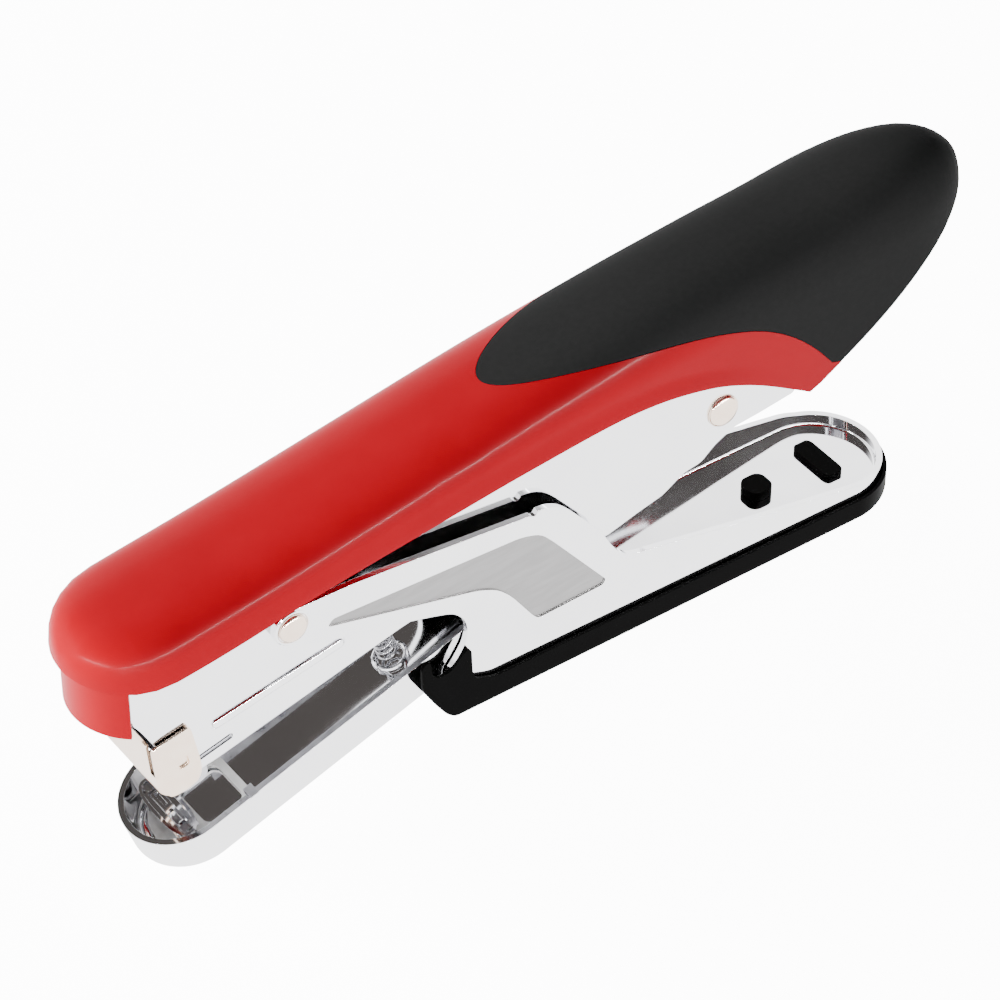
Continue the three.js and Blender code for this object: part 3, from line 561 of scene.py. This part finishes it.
def half_section(x, inset=0.0):
    """Near half of the skin's section at x, from its lower edge to the ridge, as (y, z, length along)."""
    lip = LIP_OUT * (1 - smooth((x - LIP_FADE_START) / LIP_FADE)) * smooth((x - COVER_FRONT) / LIP_NOSE_FADE)
    half = max(0.05, half_width_at(x) - inset - LIP_DRAFT * lip)
    top = height_at(RIDGE, x) - inset
    low = min(height_at(COVER_EDGE, x), top - 0.02)
    square = 1 - smooth((x - SQUARE_END) / SQUARE_FADE)
    shoulder = 7.5 + 0.03 * max(0, x - 20) - 1.2 * square
    across_power, up_power = 0.8 - 0.15 * square, 0.72 - 0.12 * square
    wall = [WALL_START + WALL_STEP * i for i in range(WALL_COUNT)]
    points = [(-half, z) for z in wall if z < top - shoulder]
    for i in range(SHOULDER_STEPS + 1):
        angle = pi / 2 * i / SHOULDER_STEPS
        y = -half * cos(angle) ** across_power if i < SHOULDER_STEPS else 0
        points.append((y, top - shoulder + shoulder * sin(angle) ** up_power))
    points = [(min(0, y - lip * (1 - smooth((z - low) / LIP_HEIGHT))) if y < 0 else 0, z) for y, z in points]
    kept = []
    for a, b in zip(points, points[1:]):
        if b[1] <= low:
            continue
        if not kept:
            t = max(0, (low - a[1]) / (b[1] - a[1]))
            kept.append((a[0] + (b[0] - a[0]) * t, a[1] + (b[1] - a[1]) * t))
        kept.append(b)
    length = [0.0]
    for a, b in zip(kept, kept[1:]):
        length.append(length[-1] + sqrt((b[0] - a[0]) ** 2 + (b[1] - a[1]) ** 2))
    return [(y, z, s) for (y, z), s in zip(kept, length)]


def point_on(section, s):
    for a, b in zip(section, section[1:]):
        if s <= b[2]:
            t = (s - a[2]) / max(1e-9, b[2] - a[2])
            return a[0] + (b[0] - a[0]) * t, a[1] + (b[1] - a[1]) * t
    return section[-1][:2]


def grip_start(x, section):
    """Length along the section at which the grip begins, measured back from the ridge."""
    total = section[-1][2]
    if x <= GRIP_TIP:
        return total
    swept = max(0, x - GRIP_SWEEP["start"]) / GRIP_SWEEP["length"]
    reach = GRIP_ROUND * sqrt(x - GRIP_TIP) + GRIP_SWEEP["drop"] * swept ** GRIP_SWEEP["power"]
    return max(0, total - reach)


def skin_stations(first, last):
    """Places of the sections: close together at the nose, the grip's tip and the tail."""
    stations = [COVER_FRONT + step for step in (0, 0.1, 0.35, 0.8, 1.6, 2.8, 4.4, 6.6, 9.5)]
    stations += [COVER_FRONT + 13 + 2.5 * i for i in range(21)]
    stations += [GRIP_TIP + d for d in (-8, -6, -4, -2, -1, 0, 0.05, 0.2, 0.45, 0.8, 1.3, 2, 3, 4.2, 5.6)]
    stations += [GRIP_TIP + 7.5 + 2.2 * i for i in range(40)]
    stations += [COVER_TAIL - left for left in (9, 7.4, 6, 4.8, 3.7, 2.8, 2.0, 1.3, 0.8, 0.4)]
    return sorted({round(x, 4) for x in stations if first <= x <= last})


def skin(first, last, span, material, inset=0.0):
    """Surface strip between two lengths along each section; span gives them for a station."""
    vertices, faces = [], []
    stations = skin_stations(first, last)
    for x in stations:
        section = half_section(x, inset)
        start, end = span(x, section)
        for i in range(SKIN_STEPS + 1):
            y, z = point_on(section, start + (end - start) * i / SKIN_STEPS)
            vertices.append((x, y, z))
    row = SKIN_STEPS + 1
    for s in range(len(stations) - 1):
        for i in range(SKIN_STEPS):
            a = s * row + i
            faces.append([a, a + row, a + row + 1, a + 1])
    near = len(vertices)
    vertices += [(x, -y, z) for x, y, z in vertices]
    faces += [[near + i for i in reversed(face)] for face in faces]
    made = mesh_object("skin", vertices, faces, material)
    work = bmesh.new()
    work.from_mesh(made.data)
    bmesh.ops.remove_doubles(work, verts=work.verts, dist=0.015)
    bmesh.ops.dissolve_degenerate(work, edges=work.edges, dist=0.001)
    work.to_mesh(made.data)
    work.free()
    return made


def thicken(made, thickness):
    solid = made.modifiers.new("sheet", "SOLIDIFY")
    solid.thickness = thickness
    solid.offset = -1
    solid.use_even_offset = False
    graph = bpy.context.evaluated_depsgraph_get()
    result = bpy.data.meshes.new_from_object(made.evaluated_get(graph))
    made.modifiers.clear()
    made.data = result
    return made


RIDGE_END = 166.6
SEAM = 0.12
COVER_SHEET, LINER_SHEET, GRIP_SHEET = 0.8, 0.6, 1.0
# Under the grip the cover runs on as a liner, from a little way outside the grip's edge
LINER_MARGIN, LINER_INSET = 2.5, 1.5
SKIRT = dict(centre=3.9, outer=12.2, inner=11.5, low=26.4, top=39.5, half_angle=52)


def cover_span(x, section):
    return 0, grip_start(x, section)


def liner_span(x, section):
    return max(0, grip_start(x, section) - LINER_MARGIN), section[-1][2]


def grip_span(x, section):
    return min(grip_start(x, section) + SEAM, section[-1][2]), section[-1][2]


def skirt():
    """Curved apron below the cover's nose."""
    centre, half = (SKIRT["centre"], 0), SKIRT["half_angle"]
    ring = arc(centre, SKIRT["outer"], 180 - half, 180 + half, 40)
    ring += arc(centre, SKIRT["inner"], 180 + half, 180 - half, 40)
    return prism(ring, SKIRT["low"], SKIRT["top"], "Z", red_paint)


def red_cover():
    shell = thicken(skin(COVER_FRONT, RIDGE_END, cover_span, red_paint), COVER_SHEET)
    liner = thicken(skin(GRIP_TIP - 2, RIDGE_END - 3, liner_span, red_paint, LINER_INSET), LINER_SHEET)
    return join([shell, liner, skirt()])


finish_piece(red_cover(), "red_cover", "upper_lever", ["top_cover"], edge=0.35, segments=3)
grip_skin = thicken(skin(GRIP_TIP + 0.05, RIDGE_END, grip_span, soft_black), GRIP_SHEET)
finish_piece(grip_skin, "grip_overmould", "upper_lever", ["soft_grip"], edge=0.4, segments=3)


# ---- Shared shapes ----
def round_tail(x_start, half, steps=48):
    """Plan outline of a channel with straight sides and a round tail."""
    return [(x_start, -half)] + arc((TAIL_CENTRE_X, 0), half, -90, 90, steps) + [(x_start, half)]


def pin(centre, radius, low, high, steps=48, material=None):
    return prism(arc(centre, radius, 0, 360 - 360 / steps, steps - 1), low, high, "Y", material)


def block(x0, x1, y0, y1, z0, z1, material=None):
    return prism(box_points(x0, x1, min(y0, y1), max(y0, y1)), z0, z1, "Z", material)


def at_height(z):
    return lambda middle, edge: abs(middle.z - z) < 0.01


def curve_through(points, steps=5):
    return [tuple(point) for point in spline_points(points, steps)]


# ---- Lower lever ----
FLOOR_LOW, FLOOR_TOP = 3.3, 4.4
CREST = curve_through([(72.4, 36.2), (74.4, 35.9), (76.4, 35.0), (78.0, 33.7), (79.5, 32.1)])
DIP = curve_through([(85.5, 24.9), (87.2, 21.6), (89.2, 18.8), (91.8, 17.0), (95.0, 16.25)])
FRONT_CURVE = curve_through([
    (54.4, 7.3), (54.6, 10.0), (56.2, 12.3), (57.8, 14.9), (58.4, 17.5), (58.0, 19.7), (56.8, 21.6),
    (55.0, 23.0), (51.4, 24.3),
])
HANDLE_OUTLINE = (
    arc(FRONT_PIVOT, 3.4, 250, 90, 24)
    + [(36.7, 39.2), (53.4, 37.7), (70.9, 35.9), (71.3, 35.5), (71.9, 35.5)]
    + CREST + DIP
    + [(115.5, 11.9), (144.7, 6.6), (153, 6.6), (153, FLOOR_LOW), (56.6, FLOOR_LOW), (55.6, 4.0)]
    + FRONT_CURVE + [(43.0, 26.8), (38.6, 28.1), (31.8, 29.6)]
)
PANEL = rounded([
    (31.6, 32.7), (32.6, 33.9), (69.2, 32.2), (73.0, 30.9), (75.3, 28.3), (86.4, 14.2),
    (85.8, 13.3), (72.6, 12.8), (71.4, 14.2), (67.1, 20.6), (64.4, 23.4), (60.6, 25.2),
], 2.2, 6)
PANEL_DEPTH = 0.3
LIFTING_EDGE = [
    (62, FLOOR_LOW), (62, FLOOR_TOP), (58.6, FLOOR_TOP), (57.0, 6.7), (56.3, 6.9), (55.6, 6.6),
    (56.4, FLOOR_LOW),
]
# Square peg and bar of the sole that show through the handle's floor
PEG_X, PEG_HALF, PEG_RISE = 127.6, 2.4, 1.8
BAR_X, BAR_LONG, BAR_WIDE, BAR_RISE = 141.2, 5.0, 1.9, 0.9
PIVOT_HOLE = 2.1


def rounded_square(centre, half, radius, steps=6):
    corner = half - radius
    points = []
    for quarter, (sx, sy) in enumerate([(1, 1), (-1, 1), (-1, -1), (1, -1)]):
        points += arc((centre + sx * corner, sy * corner), radius, 90 * quarter, 90 * quarter + 90, steps)
    return points


def lower_handle():
    half, inside = HANDLE["outer"], HANDLE["inner"]
    body = prism(HANDLE_OUTLINE, -half, half, "Y", chrome)
    combine(body, [prism(round_tail(15, half), -1, 60, "Z", chrome)], "INTERSECT")
    hollow = prism(round_tail(10, inside), FLOOR_TOP, 60, "Z", chrome)
    round_edges(hollow, at_height(FLOOR_TOP), 0.45, 4)
    mouth = block(10, 56.6, -inside, inside, -1, 60, chrome)
    tools = [hollow, mouth]
    for side in (-1, 1):
        low, high = sorted((side * (half - PANEL_DEPTH), side * (half + 1)))
        tools.append(prism(PANEL, low, high, "Y", satin))
    tools += [
        pin(FRONT_PIVOT, PIVOT_HOLE, -20, 20, material=chrome),
        prism(rounded_square(PEG_X, 1.7, 1.2), 0, 4.9, "Z", chrome),
        block(BAR_X - 1.4, BAR_X + 1.4, -4.3, 4.3, 0, 4.9, chrome),
    ]
    combine(body, tools)
    combine(body, [prism(LIFTING_EDGE, -inside - 0.2, inside + 0.2, "Y", chrome)], "UNION")
    collars = []
    rim = [(2.75, -0.3), (3.3, -0.3), (3.3, 0.1), (3.15, 0.25), (2.9, 0.25), (2.75, 0.1)]
    for side in (-1, 1):
        collar = lathe(rim, 64, chrome)
        collars.append(moved(collar, across(*FRONT_PIVOT) @ Matrix.Translation((0, 0, -side * half))
                             @ Matrix.Scale(-side, 4, (0, 0, 1))))
        face_outwards(collars[-1])
    return join([body, *collars])


finish_piece(
    lower_handle(), "lower_lever_sheet", "lower_lever", ["lower_handle"],
    edge=0.18, segments=3,
)

SOLE_OUTLINE = rounded([
    (57.8, 0), (55.4, 0.7), (53.6, 2.2), (51.4, 5.5), (48.9, 9.8), (48.8, 14.6), (49.6, 15.6),
    (50.5, 15.4), (50.9, 12.2), (52.0, 11.2), (54.6, 11.3), (57.0, 13.9), (57.9, 14.5),
    (58.6, 13.7), (58.8, 8.6), (59.6, 6.9), (63.3, 5.5), (143.5, 4.7), (154, 4.7), (154, 0), (120, 0),
], 1.2, 4)


def sole():
    half, inside = SOLE["outer"], SOLE["inner"]
    foot = round_edges(prism(round_tail(40, half), 0, 30, "Z", black_plastic), at_height(0), 1.3, 5)
    body = combine(prism(SOLE_OUTLINE, -half - 1, half + 1, "Y", black_plastic), [foot], "INTERSECT")
    combine(body, [prism(round_tail(30, inside), FLOOR_LOW - 0.3, 30, "Z", black_plastic)])
    head = FLOOR_TOP + 0.05
    bar = rounded([
        (-1, -0.85), (-0.7, -1), (0.7, -1), (1, -0.85), (1, 0.85), (0.7, 1), (-0.7, 1), (-1, 0.85),
    ], 0.2, 3)
    bar = [(BAR_X + x * BAR_WIDE, y * BAR_LONG) for x, y in bar]
    extras = [
        prism(rounded_square(PEG_X, 1.4, 0.9), 2.5, head + 0.5, "Z", black_plastic),
        prism(rounded_square(PEG_X, PEG_HALF, 1.7), head, head + PEG_RISE, "Z", black_plastic),
        block(BAR_X - 1.1, BAR_X + 1.1, -4, 4, 2.5, head + 0.2, black_plastic),
        prism(bar, head, head + BAR_RISE, "Z", black_plastic),
    ]
    return combine(body, extras, "UNION")


finish_piece(sole(), "sole_shoe", "lower_lever", ["sole_tray"], edge=0.3, segments=3)


def rivet(centre, radius, face, height, name, body, nodes):
    """Shank with a low dome at each end."""
    dome = [(radius, 0.25 * height), (radius * 0.93, 0.55 * height), (radius * 0.78, 0.82 * height),
            (radius * 0.5, 0.96 * height), (radius * 0.25, height)]
    top = [(radius, face)] + [(r, face + h) for r, h in dome] + [(0, face + height)]
    profile = [(r, -h) for r, h in reversed(top)] + [(1.8, -face), (1.8, face)] + top
    made = moved(lathe(profile, 64, nickel), across(*centre))
    finish_piece(made, name, body, nodes, edge=0)


rivet(FRONT_PIVOT, 2.6, HANDLE["outer"] + 0.05, 1.1, "front_pivot_rivet", "lower_lever", ["front_rivet"])
land_face = FRAME["outer"] + LAND_RISE
rivet(REAR_PIVOT, 3.0, land_face + 0.05, 1.1, "rear_pivot_rivet", "upper_lever", ["rear_rivet"])
for side, node in ((-1, "pivot_washer_near"), (1, "pivot_washer_far")):
    low, high = sorted((side * (FRAME["outer"] + 0.1), side * (HANDLE["inner"] - 0.1)))
    ring = lathe([(2.1, low), (3.2, low), (3.2, high), (2.1, high)], 64, steel)
    moved(ring, across(*FRONT_PIVOT))
    finish_piece(ring, node + "_ring", "lower_lever", [node], edge=0.15)

# ---- Upper lever's frame ----
FRAME_OUTLINE = [
    (-2.4, 27.2), (-1.5, 26.0), (1.7, 20.2), (2.0, 18.2), (7.5, 18.2), (7.5, 11.5), (8.9, 11.5), (12.5, 12.1),
    (47.9, 21.1), (60, 23.4), (65, 24.4), (67, 28.0), (76.2, 28.0), (76.8, 20.4), (88.8, 20.6), (95, 22.4),
    (100, 23.6), (104.4, 26.3), (108, 26.9), (110.7, 29.2), (114.6, 31.2), (120, 31.7), (127.5, 32.7),
    (127.5, 52.0), (-2.4, 40.6),
]
BEAD = ((12.6, 19.6), (36.0, 24.2))
SLIT = ((8.6, 13.8), (14.9, 15.4))
# Raised land of the side plate above and behind the arm
LAND = [(29, 36), (31, 34), (72, 27), (74, 15), (130, 15), (130, 60), (29, 60)]


def upper_frame():
    half, inside = FRAME["outer"], FRAME["inner"]
    outline = rounded(FRAME_OUTLINE, 0.8, 3)
    body = prism(outline, -half, half, "Y", chrome)
    hollow = [(-10, 5), (140, 5), (140, 52.3), (-10, 39.15)]
    combine(body, [
        prism(hollow, -inside, inside, "Y", chrome),
        prism(capsule(*SLIT, 0.6), -20, 20, "Y", chrome),
        pin(FRONT_PIVOT, PIVOT_HOLE, -20, 20, material=chrome),
        pin(REAR_PIVOT, PIVOT_HOLE, -20, 20, material=chrome),
    ])
    for side in (-1, 1):
        land = prism(LAND, *sorted((side * (half - 0.3), side * (half + LAND_RISE))), "Y", chrome)
        combine(land, [prism(outline, -20, 20, "Y", chrome)], "INTERSECT")
        combine(body, [land], "UNION")
        combine(body, [pin(REAR_PIVOT, PIVOT_HOLE, -20, 20, material=chrome)])
        face = side * (half + 0.45)
        groove = sorted((side * (half - 0.28), side * (half + 1)))
        combine(body, [prism(capsule(*BEAD, 1.2, 14), *groove, "Y", chrome)])
        bead = prism(capsule(*BEAD, 0.85, 14), *sorted((side * (half - 0.3), face)), "Y", chrome)
        round_edges(bead, lambda middle, edge: abs(middle.y - face) < 0.01, 0.42, 5)
        combine(body, [bead], "UNION")
    return body


finish_piece(
    upper_frame(), "upper_lever_frame", "upper_lever", ["upper_frame"], edge=0.15, segments=2,
)

# ---- Anvil arm and what it carries; (along, across, up) from the arm's start ----
anvil_pivot = anvil_frame.inverted() @ Vector((REAR_PIVOT[0], 0, REAR_PIVOT[1]))
ANVIL_WALL, ANVIL_FLOOR = 8.0, 1.1
CUP_ALONG = 52
ANVIL_OUTLINE = (
    [(-1, 0), (67, 0), (76, 3.4), (98, 3.4), (anvil_pivot.x - 3, anvil_pivot.z - 4.6)]
    + arc((anvil_pivot.x, anvil_pivot.z), 4.8, -70, 120, 20)
    + [(100, 9.6), (92, ANVIL_WALL), (-1, ANVIL_WALL)]
)


def anvil_plan(half, front):
    return [(130, half)] + arc((front + half, 0), half, 90, 270, 48) + [(130, -half)]


def anvil_arm():
    half, inside = ANVIL["outer"], ANVIL["inner"]
    sheet = half - inside
    body = round_edges(prism(anvil_plan(half, 0), 0, 30, "Z", chrome), at_height(0), 1.9, 7)
    dish = prism(anvil_plan(inside, sheet), ANVIL_FLOOR, 31, "Z", chrome)
    round_edges(dish, at_height(ANVIL_FLOOR), 1.3, 5)
    combine(body, [dish, block(67, 140, -20, 20, -1, 31, chrome)])
    band = [
        (66, half), (72, half), (78, 7.0), (135, 7.0), (135, 6.0), (77.4, 6.0), (71.4, inside), (66, inside),
    ]
    for side in (-1, 1):
        combine(body, [prism([(x, side * y) for x, y in band], 0, 30, "Z", chrome)], "UNION")
    combine(body, [prism(ANVIL_OUTLINE, -20, 20, "Y", chrome)], "INTERSECT")
    combine(body, [pin((anvil_pivot.x, anvil_pivot.z), PIVOT_HOLE, -20, 20, material=chrome)])
    rim = [(2.3, 0.9), (3.2, 0.9), (3.2, 1.7), (3.0, 2.0), (2.75, 2.1), (2.5, 2.0), (2.3, 1.7)]
    cup = moved(lathe(rim, 64, chrome), Matrix.Translation((CUP_ALONG, 0, 0)))
    return moved(combine(body, [cup], "UNION"), anvil_frame)


finish_piece(anvil_arm(), "anvil_channel", "anvil", ["anvil_arm"], edge=0.3, segments=4)


def anvil_insert():
    """Grey lining with a window, and a sheet ear on each side that hooks over the arm's wall."""
    start, end, low, top, half = 3.4, 20.0, 1.5, 2.1, 8.6
    plan = [(end, -half), (end, half)] + arc((start + half, 0), half, 90, 270, 36)
    body = prism(plan, low, top, "Z", lining)
    window = rounded([(10.9, -5), (18.6, -5), (18.6, 5), (10.9, 5)], 2.2, 8)
    combine(body, [prism(window, 0, 6, "Z", lining)])
    ear_start, ear_end, sheet, leg = 18.0, 19.6, 0.4, 0.45
    rim, outside = ANVIL_WALL + 0.3, ANVIL["outer"] + 0.3
    for side in (-1, 1):
        wall, inner, outer = side * (ANVIL["inner"] - 0.3), side * outside, side * (outside + sheet)
        combine(body, [
            block(ear_start, ear_end, wall - side * leg, wall, low, rim + sheet, chrome),
            block(ear_start, ear_end, wall - side * leg, outer, rim, rim + sheet, chrome),
            block(ear_start, ear_end, inner, outer, rim - 1.2, rim + sheet, chrome),
        ], "UNION")
    return moved(body, anvil_frame)


finish_piece(anvil_insert(), "anvil_lining", "anvil", ["anvil_insert"], edge=0.15, segments=2)


def clincher():
    """Boat-shaped block across the arm: raised rim, sunk middle, two grooves that turn the legs in."""
    along, reach, half, low, top = 7.6, 7.4, 2.5, 2.4, 6.6

    def boat(inset):
        points = []
        for i in range(72):
            angle = 2 * pi * i / 72
            wide = abs(cos(angle)) ** 0.8 * (1 if cos(angle) > 0 else -1)
            long = abs(sin(angle)) ** 0.7 * (1 if sin(angle) > 0 else -1)
            points.append((along + (half - inset) * wide, (reach - inset) * long))
        return points

    body = prism(boat(0), low, top, "Z", chrome)
    combine(body, [prism(boat(0.6), top - 0.9, top + 1, "Z", chrome)])
    island = rounded(box_points(along - 0.9, along + 0.9, -4.2, 4.2), 0.4, 3)
    combine(body, [prism(island, top - 1.2, top - 0.25, "Z", chrome)], "UNION")
    for side in (-1, 1):
        pad = block(along - 1.0, along + 1.0, side * 4.75, side * 6.3, top - 1.2, top - 0.15, chrome)
        combine(body, [pad], "UNION")
        groove = block(along - 0.35, along + 0.35, side * 0.6, side * 3.9, top - 0.75, top + 1, chrome)
        combine(body, [groove])
    return moved(body, anvil_frame)


finish_piece(clincher(), "clincher_pad", "anvil", ["clincher_plate"], edge=0.16, segments=3)


# ---- Springs of round wire ----
def coil(radius, wire, length, turns, material, per_turn=28, sides=10):
    vertices, faces = [], []
    steps = int(turns * per_turn)
    for i in range(steps + 1):
        angle = 2 * pi * i / per_turn
        t = i / steps
        eased = t + 0.05 * sin(4 * pi * t) / 2
        outward = Vector((cos(angle), sin(angle), 0))
        centre = outward * radius + Vector((0, 0, wire / 2 + (length - wire) * eased))
        for k in range(sides):
            roll = 2 * pi * k / sides
            vertices.append(centre + outward * cos(roll) * wire / 2 + Vector((0, 0, sin(roll) * wire / 2)))
    for i in range(steps):
        for k in range(sides):
            a, b = i * sides + k, i * sides + (k + 1) % sides
            faces.append([a, b, b + sides, a + sides])
    faces.append(list(range(sides)))
    faces.append([steps * sides + k for k in reversed(range(sides))])
    made = mesh_object("coil", vertices, faces, material)
    face_outwards(made)
    return made


def shorten(spring):
    """Gives the spring its own copy of its mesh data."""
    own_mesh(spring)


RETURN_LENGTH, RETURN_FOOT = 12.6, (CUP_ALONG, 0, ANVIL_FLOOR + 0.4)
return_coil = coil(1.7, 0.5, RETURN_LENGTH, 7, spring_steel)
moved(return_coil, anvil_frame @ Matrix.Translation(RETURN_FOOT))
finish_piece(return_coil, "return_coil", "anvil", ["return_spring"], edge=0)
shorten(return_coil)

BRIDGE_MIDDLE, MAGAZINE_TOP = 62, 12.0
LIFT_LENGTH, LIFT_FOOT = 10.2, MAGAZINE_TOP + 0.5
magazine_coil = coil(2.4, 0.6, LIFT_LENGTH, 6, spring_steel)
moved(magazine_coil, magazine_frame @ Matrix.Translation((BRIDGE_MIDDLE, 0, LIFT_FOOT)))
finish_piece(magazine_coil, "magazine_coil", "upper_lever", ["magazine_spring"], edge=0)
shorten(magazine_coil)

PUSHER_END, BRACKET_START, ROD_UP, COIL_GAP = 52.8, 90.5, 6.5, 0.6
pusher_coil = coil(1.75, 0.45, BRACKET_START - PUSHER_END - 2 * COIL_GAP, 20, spring_steel)
moved(pusher_coil, magazine_frame @ Matrix.Translation((PUSHER_END + COIL_GAP, 0, ROD_UP))
      @ Matrix.Rotation(radians(90), 4, "Y"))
finish_piece(pusher_coil, "pusher_coil", "magazine", ["pusher_spring"], edge=0)
shorten(pusher_coil)

# ---- Magazine ----
magazine_pivot = magazine_frame.inverted() @ Vector((REAR_PIVOT[0], 0, REAR_PIVOT[1]))
MAGAZINE_FLOOR = 2.7
RAIL_START, STRIP_LENGTH, RAIL_TOP = 4.2, 40, 9.3
STAPLE_HALF = 6.2
MAGAZINE_OUTLINE = (
    [(2.7, 0.9), (3.4, -0.2), (4.6, -0.9), (8.0, -1.1), (9.0, -0.8), (9.5, 0.2)]
    + [(9.8, MAGAZINE_FLOOR), (96, MAGAZINE_FLOOR)]
    + arc((magazine_pivot.x, magazine_pivot.z), 3.9, -110, 100, 20)
    + [(98, MAGAZINE_TOP), (2.7, MAGAZINE_TOP)]
)


def magazine_channel():
    half, inside = MAGAZINE["outer"], MAGAZINE["inner"]
    floor_top = MAGAZINE_FLOOR + 0.5
    body = prism(MAGAZINE_OUTLINE, -half, half, "Y", steel)
    combine(body, [
        block(0, 130, -inside, inside, floor_top, MAGAZINE_TOP - 0.6, steel),
        block(0, 58, -inside, inside, floor_top, 20, steel),
        block(66, 130, -inside, inside, floor_top, 20, steel),
        block(0, 9.4, -inside, inside, -2, MAGAZINE_FLOOR + 0.01, steel),
        block(0, RAIL_START + 0.2, -inside, inside, -2, 20, steel),
        block(94, 130, -20, 20, -5, 20, steel),
    ])
    band = [
        (93, half), (95, half), (98.5, 5.6), (135, 5.6), (135, 5.0), (98, 5.0), (94.5, inside), (93, inside),
    ]
    for side in (-1, 1):
        ear = prism([(x, side * y) for x, y in band], -5, 20, "Z", steel)
        combine(ear, [prism(MAGAZINE_OUTLINE, -20, 20, "Y", steel)], "INTERSECT")
        combine(body, [ear], "UNION")
    combine(body, [pin((magazine_pivot.x, magazine_pivot.z), PIVOT_HOLE, -20, 20, material=steel)])
    return moved(body, magazine_frame)


finish_piece(magazine_channel(), "magazine_body", "magazine", ["magazine_channel"], edge=0.12)


def staple_stick():
    """Glued stick: one U per staple, each a little narrower at its joint to the next."""
    low, crown, wire, pitch, bevel = 3.7, RAIL_TOP + 0.3, 0.5, 0.5, 0.1
    inner = STAPLE_HALF - wire
    section = [
        (-STAPLE_HALF, low), (-STAPLE_HALF, crown + wire), (STAPLE_HALF, crown + wire), (STAPLE_HALF, low),
        (inner, low), (inner, crown), (-inner, crown), (-inner, low),
    ]

    def ring(x, shrink):
        narrowed = 1 - shrink / STAPLE_HALF / 1.5
        return [(x, y * narrowed, z - (shrink if z > crown else 0)) for y, z in section]

    rings = []
    staples = int(STRIP_LENGTH / pitch)
    for i in range(staples):
        start = RAIL_START + i * pitch
        rings += [ring(start, bevel), ring(start + bevel, 0), ring(start + (pitch - bevel), 0)]
    rings.append(ring(RAIL_START + (staples - 1) * pitch + pitch, bevel))
    count = len(section)
    vertices = [point for each in rings for point in each]
    faces = [list(range(count)), [len(vertices) - count + k for k in reversed(range(count))]]
    for r in range(len(rings) - 1):
        for k in range(count):
            a, b = r * count + k, r * count + (k + 1) % count
            faces.append([a, b, b + count, a + count])
    made = mesh_object("stick", vertices, faces, steel)
    face_outwards(made)
    return moved(made, magazine_frame)


finish_piece(staple_stick(), "staple_stick", "magazine", ["staple_strip"], edge=0)

# ---- Nose plate ----
NOSE_SHEET = 0.5
SLOT = dict(inner=7.0, outer=8.3, low=14.5)
WING = rounded([
    (1.1, 11.1), (2.4, 9.7), (3.8, 9.1), (6.3, 9.4), (8.3, 10.2), (9.1, 12.3), (8.7, 15.4), (7.55, 21.4),
    (7.2, 22.3), (0.1, 20.9),
], 0.9, 4)


def nose_plate():
    half, inside = NOSE["outer"], NOSE["inner"]
    body = prism(WING, -half, half, "Y", nickel)
    round_edges(body, lambda middle, edge: middle.x < 3 and abs(abs(middle.y) - half) < 0.01
                and abs((edge.verts[0].co - edge.verts[1].co).y) < 0.01, 0.45, 4)
    hollow = [(1.1 + NOSE_SHEET, 11.1), (2.0, 5), (15, 5), (15, 30), (-0.9, 30), (0.1 + NOSE_SHEET, 20.9)]
    combine(body, [prism(hollow, -inside, inside, "Y", nickel)])
    for side in (-1, 1):
        combine(body, [block(-4, 2.3, side * SLOT["inner"], side * SLOT["outer"], SLOT["low"], 30, nickel)])
    flange = [(0.1, 20.8), (0.1 + NOSE_SHEET, 20.8), (-2.3, 26.4), (-2.8, 26.4)]
    combine(body, [prism(flange, -SLOT["inner"], SLOT["inner"], "Y", nickel)], "UNION")
    dimple = rounded([(5.0, 14.2), (6.9, 14.6), (6.6, 16.7), (4.7, 16.3)], 0.5, 4)
    for side in (-1, 1):
        foot = block(3.6, 7.0, side * (MAGAZINE["outer"] + 0.3), side * (inside + 0.1), 9.6, 10.6, nickel)
        combine(body, [foot], "UNION")
        low, high = sorted((side * (half - 0.4), side * (half + 1)))
        combine(body, [prism(dimple, low, high, "Y", nickel)])
    return body


finish_piece(nose_plate(), "nose_cap", "magazine", ["nose_plate"], edge=0.16, segments=3)
